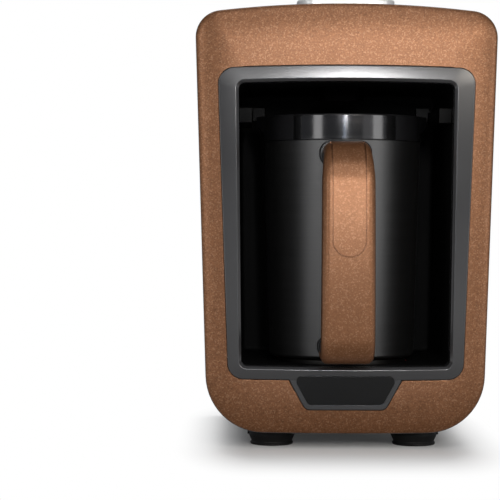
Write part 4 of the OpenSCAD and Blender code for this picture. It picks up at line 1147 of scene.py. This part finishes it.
class COFFEE_OT_rear(PieceMaker, bpy.types.Operator):
    """Makes the rear cover with its air slots, the screws in their recesses and the cord bushing"""

    bl_idname = "coffee.rear"
    bl_label = "Rear"

    def make(self):
        self.turn = Matrix.Rotation(-RIGHT_ANGLE, 4, "X")
        self.seat = BACK - 8 * MM
        self.gland = ((GLAND_LOW.x + GLAND_HIGH.x) / 2, (GLAND_LOW.z + GLAND_HIGH.z) / 2)
        self.cover()
        self.screws()
        self.bushing()

    def cover(self):
        s = sizes()
        lines = [(body_line(0.0), SEAM)]
        for cos_a, sin_a in quarter(6):
            lines.append((body_line(s.back_edge * (1 - cos_a)), BACK - s.back_edge * (1 - sin_a)))
        piece = rings("rear_cover", lines)
        select(lies_at(1, SEAM))
        bpy.ops.mesh.inset(thickness=s.wall)
        extrude(dy=BACK - s.wall - SEAM)
        behind = BACK + 2 * MM
        slot_w, slot_h, pitch = 2.4 * MM, 24 * MM, 6.4 * MM
        for z in (BODY_TOP - 62 * MM, BODY_TOP - 92 * MM):
            for i in range(-3, 4):
                slot = box_line(slot_w, slot_h, slot_w / 2 - 0.01 * MM, (i * pitch, z), 6)
                combine(piece, slab("slot_cutter", slot, behind, BACK - s.wall - 1 * MM))
        for place in self.screw_places():
            combine(piece, slab("recess_cutter", ring_line(SCREW_RECESS, place, 32), behind, self.seat))
        combine(piece, slab("gland_cutter", ring_line(7.2 * MM, self.gland), behind, BACK - 4 * MM))
        round_edges(0.3 * MM, 2, 0.9, lies_at(1, BACK))
        finish(piece, "machine", black_shell, "back_cover", angle=25)

    def screws(self):
        places = [Matrix.Translation((x, self.seat, z)) @ self.turn for x, z in self.screw_places()]
        set_out(make_screw("back_screw_0", 16 * MM), "back_screw", places, screw_steel, "back_screws")

    def bushing(self):
        r, bore_r, low, high = 7.14 * MM, 3.4 * MM, -6.4 * MM, 3 * MM
        bush = turned("cord_bushing", [
            (bore_r, low, 0), (r, low, 0), (r, 0, 0), (r + 2 * MM, 0, 0.5 * MM),
            (r + 1.3 * MM, 2.0 * MM, 0.5 * MM), (5.6 * MM, high, 0.6 * MM), (bore_r, high, 0.5 * MM),
        ], ORIGIN, closed=True, steps=64)
        bpy.ops.object.mode_set(mode="OBJECT")
        bush.data.transform(Matrix.Translation((self.gland[0], BACK, self.gland[1])) @ self.turn)
        finish(bush, "machine", foot_rubber, "cord_gland")

    @staticmethod
    def screw_places():
        s = sizes()
        places = []
        for z in (BODY_LOW + 26 * MM, BODY_TOP - 20 * MM):
            half = s.body_foot + (s.body_head - s.body_foot) * (z - BODY_LOW) / (BODY_TOP - BODY_LOW)
            places += [(-(half - 12 * MM), z), (half - 12 * MM, z)]
        return places


def make_screw(name, length):
    """A pan-head screw with a cross recess, its head's underside at the origin and its shank down."""
    head_r, head_h, shank = SCREW_HEAD, 1.8 * MM, 1.4 * MM
    piece = turned(name, [
        (0, -length, 0), (shank - 0.5 * MM, -length, 0), (shank, -length + 1 * MM, 0), (shank, 0, 0),
        (head_r, 0, 0.2 * MM), (head_r, head_h, 0.9 * MM), (head_r * 0.4, head_h, 0), (0, head_h, 0),
    ], ORIGIN, steps=32)
    arm, half, deep = 1.5 * MM, 0.28 * MM, 0.9 * MM
    for along, across in ((arm, half), (half, arm)):
        combine(piece, block("cross", (-along, -across, head_h - deep), (along, across, head_h + 1 * MM)))
    return piece


class COFFEE_OT_underside(PieceMaker, bpy.types.Operator):
    """Makes the base plate with its air slots, its screws and the four suction feet with pull tabs"""

    bl_idname = "coffee.underside"
    bl_label = "Underside"

    def make(self):
        self.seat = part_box("base_plate")[0].z + 1.8 * MM
        self.panel()
        self.screws()
        self.feet()

    def panel(self):
        low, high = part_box("base_plate")
        middle = (low + high) / 2
        thick = 3.4 * MM
        outline = box_line(high.x - low.x, high.y - low.y, 1.0 * MM, middle, 4)
        piece = plate("base_panel", outline, low.z + thick, low.z)
        select(lies_at(2, low.z))
        bpy.ops.mesh.inset(thickness=0.4 * MM)
        slot_w, slot_l, pitch = 2.4 * MM, 18 * MM, 6.4 * MM
        back = high.y + 0.25 * MM
        for i in range(6):
            slot = box_line(slot_l, slot_w, slot_w / 2 - 0.01 * MM, (0, back - 22 * MM - i * pitch), 6)
            combine(piece, plate("slot_cutter", slot, low.z - MM, low.z + 6 * MM))
        for place in self.screw_places():
            recess = ring_line(SCREW_RECESS, place, 32)
            combine(piece, plate("recess_cutter", recess, low.z - 1 * MM, self.seat))
        finish(piece, "machine", black_shell, "base_plate")

    @staticmethod
    def screw_places():
        return corner_places(*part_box("base_screws"), SCREW_HEAD)

    def screws(self):
        flip = Matrix.Rotation(math.pi, 4, "X")
        places = [Matrix.Translation((x, y, self.seat)) @ flip for x, y in self.screw_places()]
        set_out(make_screw("base_screw_0", 7 * MM), "base_screw", places, screw_steel, "base_screws")

    def feet(self):
        r, neck, ledge = 12.5 * MM, 3.6 * MM, BODY_LOW + 3.4 * MM
        foot = turned("suction_foot_0", [
            (0, 1.8 * MM, 0), (r * 0.45, 1.6 * MM, 2 * MM),
            (r - 2.6 * MM, 0, 0.3 * MM), (r - 1.8 * MM, 0, 0.3 * MM),
            (r - 1.4 * MM, 0.9 * MM, 0.3 * MM), (r - 2.1 * MM, 1.8 * MM, 0.5 * MM),
            (r - 1.2 * MM, 3.8 * MM, 1.2 * MM), (r - 0.5 * MM, 5.2 * MM, 0.5 * MM),
            (r - 1.0 * MM, BODY_LOW - 0.8 * MM, 0.4 * MM), (r * 0.62, BODY_LOW, 0.3 * MM),
            (neck, BODY_LOW, 0), (neck, ledge, 0), (neck + 1.6 * MM, ledge, 0.3 * MM),
            (neck + 1.2 * MM, ledge + 1.2 * MM, 0.4 * MM), (0, FEET_HIGH.z, 0),
        ], ORIGIN, steps=64)
        tab = box_line(5 * MM, 6 * MM, 1.4 * MM, (r - 2.5 * MM, 0), 5)
        combine(foot, plate("pull_tab", tab, 5.2 * MM, 6.4 * MM), "UNION")
        bpy.ops.object.mode_set(mode="OBJECT")
        places = [
            Matrix.Translation((x, y, 0)) @ Matrix.Rotation(math.pi if x < 0 else 0.0, 4, "Z")
            for x, y in corner_places(FEET_LOW, FEET_HIGH, r)
        ]
        set_out(foot, "suction_foot", places, foot_rubber, "suction_feet")


class COFFEE_OT_pot(PieceMaker, bpy.types.Operator):
    """Makes the steel pot with its foot disc, the collar with two spouts and the polished bands"""

    bl_idname = "coffee.pot"
    bl_label = "Pot"

    def make(self):
        self.floor_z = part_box("pot_base")[1].z
        self.disc_r = sizes().pot_foot - 4 * MM
        self.vessel()
        self.base()
        self.collar()

    def vessel(self):
        s = sizes()
        r, foot, neck = s.pot_shoulder, s.pot_foot, s.pot_shoulder - NECK_STEP
        wall, edge, fillet = 1.0 * MM, 2.4 * MM, 0.1 * MM
        low, shoulder, floor_z = POT_LOW, COLLAR_LOW, self.floor_z
        disc_hole, rise = self.disc_r + 0.25 * MM, 0.3 * MM
        rim = POT_TOP - 0.6 * MM
        vessel = turned("pot_shell", [
            (0, floor_z, 0), (disc_hole, floor_z, 0), (disc_hole, low + rise, 0.2 * MM),
            (foot, low + rise, edge * 0.8),
            (r, shoulder, 0.5 * MM), (neck, shoulder, fillet), (neck, rim, fillet),
            (neck - wall, rim, fillet), (neck - wall, shoulder - 2 * MM, 1.5 * MM),
            (foot - wall, floor_z + wall, edge), (0, floor_z + wall, 0),
        ], steps=FINE_STEPS)
        stud_back, sunk = POT_AXIS.y - r + 6 * MM, 0.5 * MM
        for z in root_heights():
            stud = slab("stud", ring_line(5 * MM, (0, z), 32), stud_back, POT_AXIS.y - pot_wall(z) - 1.4 * MM)
            combine(stud, drum("stud_limit", low, shoulder, pot_wall(low) - sunk, pot_wall(shoulder) - sunk))
            combine(vessel, stud, "UNION")
        self.cut_spouts(vessel)
        finish(vessel, "pot", pot_steel, "pot_vessel", angle=28)

    def base(self):
        low, r, deep = POT_LOW, self.disc_r, 0.3 * MM
        grooves = [
            ((radius + aside) * MM, low + (0.0 if aside else deep), 0)
            for radius in (8, 16, 24)
            for aside in (-0.3, 0, 0.3)
        ]
        base = turned("pot_disc", [
            (0, low, 0), *grooves, (r, low, 0.3 * MM), (r, self.floor_z, 0), (0, self.floor_z, 0),
        ])
        finish(base, "pot", base_steel, "pot_base")

    @staticmethod
    def spout(name, side, inset, over):
        """A spout: round-cornered in plan, narrowing down to the collar's foot."""
        s = sizes()
        neck = s.pot_shoulder - NECK_STEP
        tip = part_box("pot_collar")[1].x - 1.6 * inset
        root, waist = neck - 3.5 * MM, neck - 0.6 * MM
        half = s.spout_half + 1.5 * MM - inset
        low, rise = COLLAR_LOW + 2 * MM + 2 * inset, 6.5 * MM
        waist_r, tip_r = 1.2 * MM, 2.8 * MM
        points = [
            (root, -half, 0), (waist, -half, waist_r), (tip, 0, tip_r),
            (waist, half, waist_r), (root, half, 0),
        ]
        arcs = rounded([(POT_AXIS.x + u, POT_AXIS.y + v, r) for u, v, r in points], 8)
        piece = plate(name, arcs, low, POT_TOP + over)
        x0 = POT_AXIS.x + neck - 1.0 * MM
        span = tip - neck + 1.0 * MM

        def lift(co):
            if not near(co.z, low):
                return co
            share = min(max((co.x - x0) / span, 0), 1)
            return co.x, co.y, low + rise * share

        move_points(lift)
        select_all()
        bpy.ops.mesh.quads_convert_to_tris()
        if side < 0:
            turn_round_pot(piece, math.pi)
        tidy()
        return piece

    def cut_spouts(self, piece):
        """Cuts the channels of both spouts."""
        for side in (-1, 1):
            combine(piece, self.spout("spout_cutter", side, 1.2 * MM, 1 * MM))

    def collar(self):
        s = sizes()
        neck = s.pot_shoulder - 0.85 * MM
        outer = s.pot_shoulder + 0.5 * MM
        inner, seat = neck - 1.0 * MM, outer - 0.8 * MM
        low, top = COLLAR_LOW, POT_TOP
        under = top - 0.6 * MM
        ring = turned("collar_ring", [
            (neck, low, 0), (outer, low, 0.15 * MM), (outer, top, 0.6 * MM), (inner, top, 0.25 * MM),
            (inner, under, 0), (neck, under, 0),
        ], closed=True, steps=FINE_STEPS)
        for side in (-1, 1):
            spout = self.spout("spout_solid", side, 0.0, 0.0)
            combine(spout, drum("neck_cutter", low - MM, top + MM, neck, steps=FINE_STEPS))
            combine(ring, spout, "UNION")
        self.cut_spouts(ring)
        for turn in (0.0, math.pi):
            cutter = self.band("band_cutter", turn, seat, outer + MM, low - MM, top - 0.5 * MM, s.band_angle)
            combine(ring, cutter)
        finish(ring, "pot", black_satin, "pot_collar", angle=28)
        half = s.band_angle - BAND_PLAY
        for turn, name in ((0.0, "front_band"), (math.pi, "rear_band")):
            band = self.band(name, turn, seat, outer, low + 0.2 * MM, top - 0.65 * MM, half)
            round_edges(0.22 * MM, 2, 0.9)
            finish(band, "pot", band_steel, "collar_bands")

    @staticmethod
    def band(name, turn, r0, r1, z0, z1, half):
        """A curved strip round the pot's axis, in front of it when turn is 0."""
        corners = ((r0, z0), (r1, z0), (r1, z1), (r0, z1))
        piece = draw(name, rounded([(POT_AXIS.x + r, z, 0) for r, z in corners]), POT_AXIS.y)
        bpy.ops.mesh.spin(steps=48, angle=2 * half, center=POT_AXIS, axis=(0, 0, 1))
        tidy()
        turn_round_pot(piece, -RIGHT_ANGLE + turn + half)
        return piece


class COFFEE_OT_handle(PieceMaker, bpy.types.Operator):
    """Makes the bowed handle: painted outer half, tongue let into it, and black inner half with root pads"""

    bl_idname = "coffee.handle"
    bl_label = "Handle"

    def make(self):
        s = sizes()
        self.half = s.grip_thick / 2
        self.top_z, self.root_z = root_heights()
        low_z = POT_LOW + s.arm_rise
        centre_y = POT_AXIS.y - s.pot_shoulder - s.grip_reach + s.grip_bow
        bend_top_z = self.top_z - s.bend_top
        bend_low_z = low_z + s.bend_low
        self.sweep = math.asin((bend_top_z - bend_low_z) / (2 * s.grip_bow - s.bend_top - s.bend_low))
        self.top_c = Vector((0, centre_y - (s.grip_bow - s.bend_top) * math.cos(self.sweep), bend_top_z))
        self.low_c = Vector((0, centre_y - (s.grip_bow - s.bend_low) * math.cos(self.sweep), bend_low_z))
        self.grip_c = Vector((0, centre_y, bend_top_z - (s.grip_bow - s.bend_top) * math.sin(self.sweep)))
        self.tongue_low = bend_low_z + s.tongue_clear
        self.skin = 1.2 * MM
        self.cover()
        self.inlay()
        self.core()

    @staticmethod
    def pad_front(z):
        """Where the front of a root pad at a height lies."""
        return POT_AXIS.y - pot_wall(z) - 5 * MM

    def cover(self):
        cover = self.swept("handle_shell", self.section(self.half, 3.8 * MM), self.pad_front(self.top_z))
        gap = sizes().tongue_gap
        combine(cover, self.tongue("tongue_cutter", gap, self.half - self.skin, self.half + 2 * MM))
        finish(cover, "pot", copper_handle, "handle_cover", angle=40)

    def inlay(self):
        inlay = self.tongue("handle_tongue", 0.0, self.half - self.skin, self.half)
        finish(inlay, "pot", copper_handle, "handle_inlay", angle=40)

    def core(self):
        s = sizes()
        section = self.section(-self.half, 3.6 * MM)
        core = self.swept("handle_inner", section, self.pad_front(self.top_z) + 4 * MM)
        edge = 0.9 * MM
        for z, w, h in ((self.top_z, 26.4 * MM, 13 * MM), (self.root_z, 27.8 * MM, 10 * MM)):
            front = self.pad_front(z)
            pad = slab("root_pad", box_line(w, h, h / 2 - 0.6 * MM, (0, z)), front + 11 * MM, front + edge)
            soften(edge, edge, 4)
            combine(core, pad, "UNION")
        low, high = POT_LOW - REACH, COLLAR_LOW + REACH
        combine(core, drum(
            "pot_cutter", low, high, pot_wall(low) + s.fit, pot_wall(high) + s.fit, steps=FINE_STEPS
        ))
        finish(core, "pot", black_satin, "handle_core", angle=40)

    def width_at(self, z):
        """Half width of the grip at a height."""
        s = sizes()
        top_w = s.grip_width - 0.5 * MM
        if z > self.top_c.z:
            share = min((z - self.top_c.z) / (s.bend_top + self.half), 1)
            return (top_w + (s.arm_width - top_w) * share**1.6) / 2
        share = min(max((self.top_c.z - z) / (self.top_c.z - self.low_c.z), 0), 1)
        return (top_w + (s.grip_width - top_w) * share) / 2

    def section(self, height, corner):
        """Half of the grip's section where the top arm starts, as wide as the grip's foot."""
        s = sizes()
        w, z = s.grip_width / 2, self.top_z
        way = 1 if height > 0 else -1
        points = [(-w, z, 0), (w, z, 0), (w, z + height, corner), (-w, z + height, corner)]
        return rounded(points[::way], 8)

    @staticmethod
    def bend(centre, steps, angle):
        bpy.ops.mesh.spin(steps=steps, angle=angle, center=centre, axis=(-1, 0, 0))

    def bend_over(self):
        """Carries the selection round the top bend and down the bowed grip."""
        self.bend(self.top_c, 14, RIGHT_ANGLE - self.sweep)
        self.bend(self.grip_c, 24, 2 * self.sweep)

    def swept(self, name, arcs, root_y):
        """Carries a section forward along the top arm, round the bends and down the grip."""
        piece = draw(name, arcs, root_y)
        extrude(dy=self.top_c.y - root_y)
        self.bend_over()
        self.bend(self.low_c, 12, RIGHT_ANGLE - self.sweep)
        extrude(dy=root_y - self.low_c.y)
        tidy()
        full = sizes().grip_width / 2
        move_points(lambda co: (self.squeezed(co, full), co.y, co.z))
        tidy()
        return piece

    def squeezed(self, co, full):
        """Narrows the grip towards the top while its rounded sides keep their radius."""
        narrow = full - self.width_at(co.z)
        flat = full - 4.2 * MM
        if abs(co.x) <= flat:
            return co.x * (flat - narrow) / flat
        return co.x - math.copysign(narrow, co.x)

    def tongue(self, name, grow, low, high):
        """The tongue between two heights over the grip's middle line, cut to its outline."""
        s = sizes()
        r = s.tongue_width / 2 + grow
        w, z, lead = r + 2 * MM, self.top_z, 2 * MM
        points = [(-w, z + low, 0), (w, z + low, 0), (w, z + high, 0), (-w, z + high, 0)]
        strip = draw(name, rounded(points), self.top_c.y + lead + grow)
        extrude(dy=-lead - grow)
        self.bend_over()
        tidy()
        foot, head = self.tongue_low + s.tongue_width / 2, z + 20 * MM
        outline = [((0, foot), r, math.pi, math.pi, 24), ((r, head), 0, 0, 0, 0), ((-r, head), 0, 0, 0, 0)]
        front = self.grip_c.y - s.grip_bow - 15 * MM
        combine(strip, slab("tongue_outline", outline, self.top_c.y + 10 * MM, front), "INTERSECT")
        return strip


class COFFEE_OT_hidden(PieceMaker, bpy.types.Operator):
    """Gives the pieces inside their finishes"""

    bl_idname = "coffee.hidden"
    bl_label = "Inner pieces"

    def make(self):
        for name, maker in PLAIN_NODES.items():
            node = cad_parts[name]
            node.data.materials.clear()
            node.data.materials.append(finish_of(maker))


class COFFEE_OT_stage(PieceMaker, bpy.types.Operator):
    """Sets up the pale floor, the lamps, the surroundings and the camera"""

    bl_idname = "coffee.stage"
    bl_label = "Stage"

    def make(self):
        self.floor()
        self.world()
        self.lamps()
        self.camera()

    def floor(self):
        """A matte floor that glows white to the camera, except close to the machine."""
        bpy.ops.object.select_all(action="DESELECT")
        bpy.ops.mesh.primitive_plane_add(size=12, location=(0, 2, 0))
        floor = bpy.context.object
        floor.name = "floor"
        bpy.ops.object.transform_apply(location=True, rotation=True, scale=True)
        half_w, half_d, squeeze = 0.045, 0.06, 2.5
        f = Finish("floor_white")
        beside = f.vector_maths("ABSOLUTE", f.place)
        beside = f.vector_maths("SUBTRACT", beside, (half_w, half_d, 0))
        beside = f.vector_maths("MAXIMUM", beside, (0, 0, 0))
        beside = f.vector_maths("MULTIPLY", beside, (squeeze, 1, 1))
        distance = f.vector_maths("LENGTH", beside, out="Value")
        camera_ray = f.add("LightPath", out="Is Camera Ray")
        glossy_ray = f.add("LightPath", out="Is Glossy Ray")
        least_glow = 0.03
        seen = camera_ray * (distance.above(0.055, 0.05) * (1 - least_glow) + least_glow)
        mirrored = glossy_ray * distance.above(1.1, 0.4)
        glow = f.add("Emission", inputs={"Color": (1, 1, 1), "Strength": 1.0})
        to_camera, to_mirrors, to_others = ((grey, grey, grey) for grey in (0.88, 0.42, 0.6))
        shade = f.surface(
            Base_Color=f.mix(glossy_ray, f.mix(camera_ray, to_others, to_camera), to_mirrors),
            Roughness=0.5,
            Specular_IOR_Level=0.0,
        )
        both = f.add("MixShader", inputs={0: seen + mirrored, 1: Wire(f, f.shader.outputs[0]), 2: glow})
        f.tree.links.new(both.socket, f.output.inputs["Surface"])
        floor.data.materials.append(shade)

    def world(self):
        """White to the camera, and a dim cool light to everything else."""
        world = bpy.data.worlds.new("surroundings")
        bpy.context.scene.world = world
        world.use_nodes = True
        tree = world.node_tree
        tree.nodes.clear()
        out = tree.nodes.new("ShaderNodeOutputWorld")
        mix = tree.nodes.new("ShaderNodeMixShader")
        path = tree.nodes.new("ShaderNodeLightPath")
        tree.links.new(path.outputs["Is Camera Ray"], mix.inputs[0])
        for i, tint, strength in ((1, (0.9, 0.93, 1.0, 1), 0.18), (2, (1, 1, 1, 1), 1.0)):
            light = tree.nodes.new("ShaderNodeBackground")
            light.inputs["Color"].default_value = tint
            light.inputs["Strength"].default_value = strength
            tree.links.new(light.outputs[0], mix.inputs[i])
        tree.links.new(mix.outputs[0], out.inputs["Surface"])

    def lamps(self):
        """Soft lamps round the machine, each aimed at the middle of its front."""
        aim = Vector((0, FRONT, 0.12))
        for name, azimuth, elevation, distance, width, height, radiance, tint in (
            ("front_softbox", 3.5, 10.6, 1.1, 0.05, 0.16, 84, (1, 0.99, 0.98)),
            ("front_fill", -5, 12, 1.2, 0.12, 0.25, 2.2, (1, 0.99, 0.98)),
            ("upper_softbox", 3, 43, 1.1, 0.5, 0.55, 2.2, (1, 0.99, 0.98)),
            ("right_front", 20, 16, 1.15, 0.3, 0.3, 8.8, (1, 0.93, 0.83)),
            ("left_softbox", -38, 8, 1.15, 0.26, 0.9, 3.0, (1, 0.99, 0.96)),
            ("right_softbox", 52, 8, 1.15, 0.3, 0.9, 2.8, (1, 0.99, 0.96)),
            ("right_fill", 38, 8, 1.2, 0.4, 0.9, 0.5, (1, 0.98, 0.96)),
            ("blue_strip", 1.5, 2, 1.0, 0.014, 0.3, 11, (0.6, 0.77, 1)),
            ("rear_softbox", 180, 64, 1.2, 0.9, 0.25, 14, (1, 1, 1)),
        ):
            a, e = math.radians(azimuth), math.radians(elevation)
            way = Vector((math.sin(a) * math.cos(e), -math.cos(a) * math.cos(e), math.sin(e)))
            data = bpy.data.lights.new(name, "AREA")
            data.shape = "RECTANGLE"
            data.size = width
            data.size_y = height
            data.energy = math.pi * width * height * radiance
            data.color = tint
            lamp = bpy.data.objects.new(name, data)
            bpy.context.scene.collection.objects.link(lamp)
            lamp.location = aim + way * distance
            lamp.rotation_mode = "QUATERNION"
            lamp.rotation_quaternion = way.to_track_quat("Z", "Y")

    def camera(self):
        """A long lens at half the machine's height, a little to its left."""
        image, focal_px, horizon_px = 500, 1800, 211
        side, distance, height = -0.048, 0.9, 0.1195
        data = bpy.data.cameras.new("camera")
        data.sensor_width = 36
        data.lens = data.sensor_width * focal_px / image
        data.clip_start = 0.05
        cam = bpy.data.objects.new("camera", data)
        bpy.context.scene.collection.objects.link(cam)
        cam.location = (side, FRONT - distance, height)
        pitch = math.atan((image / 2 - horizon_px) / focal_px)
        roll = math.radians(0.2)
        turn = Matrix.Rotation(RIGHT_ANGLE - pitch, 3, "X") @ Matrix.Rotation(roll, 3, "Z")
        cam.rotation_euler = turn.to_euler()
        bpy.context.scene.camera = cam


class COFFEE_PT_panel(bpy.types.Panel):
    """Lists the pieces in the 3D view's sidebar"""

    bl_idname = "COFFEE_PT_panel"
    bl_label = "Turkish coffee maker"
    bl_space_type = "VIEW_3D"
    bl_region_type = "UI"
    bl_category = "Coffee"

    def draw(self, context):
        for maker in MAKERS:
            self.layout.operator(maker.bl_idname)
        for group in (context.scene.coffee_sizes, context.scene.coffee_colours):
            box = self.layout.box()
            for name in group.__annotations__:
                box.prop(group, name)


MAKERS = (
    COFFEE_OT_housing,
    COFFEE_OT_front_frame,
    COFFEE_OT_bezel,
    COFFEE_OT_bay,
    COFFEE_OT_controls,
    COFFEE_OT_rear,
    COFFEE_OT_underside,
    COFFEE_OT_pot,
    COFFEE_OT_handle,
    COFFEE_OT_hidden,
    COFFEE_OT_stage,
)
CLASSES = (COFFEE_PG_sizes, COFFEE_PG_colours, *MAKERS, COFFEE_PT_panel)


def register():
    for one in CLASSES:
        bpy.utils.register_class(one)
    bpy.types.Scene.coffee_sizes = PointerProperty(type=COFFEE_PG_sizes)
    bpy.types.Scene.coffee_colours = PointerProperty(type=COFFEE_PG_colours)


def unregister():
    del bpy.types.Scene.coffee_colours
    del bpy.types.Scene.coffee_sizes
    for one in reversed(CLASSES):
        bpy.utils.unregister_class(one)


def main():
    register()
    scene = bpy.context.scene
    scene.view_settings.view_transform = "Standard"
    for maker in MAKERS:
        group, name = maker.bl_idname.split(".")
        getattr(getattr(bpy.ops, group), name)()


if __name__ == "__main__":
    main()
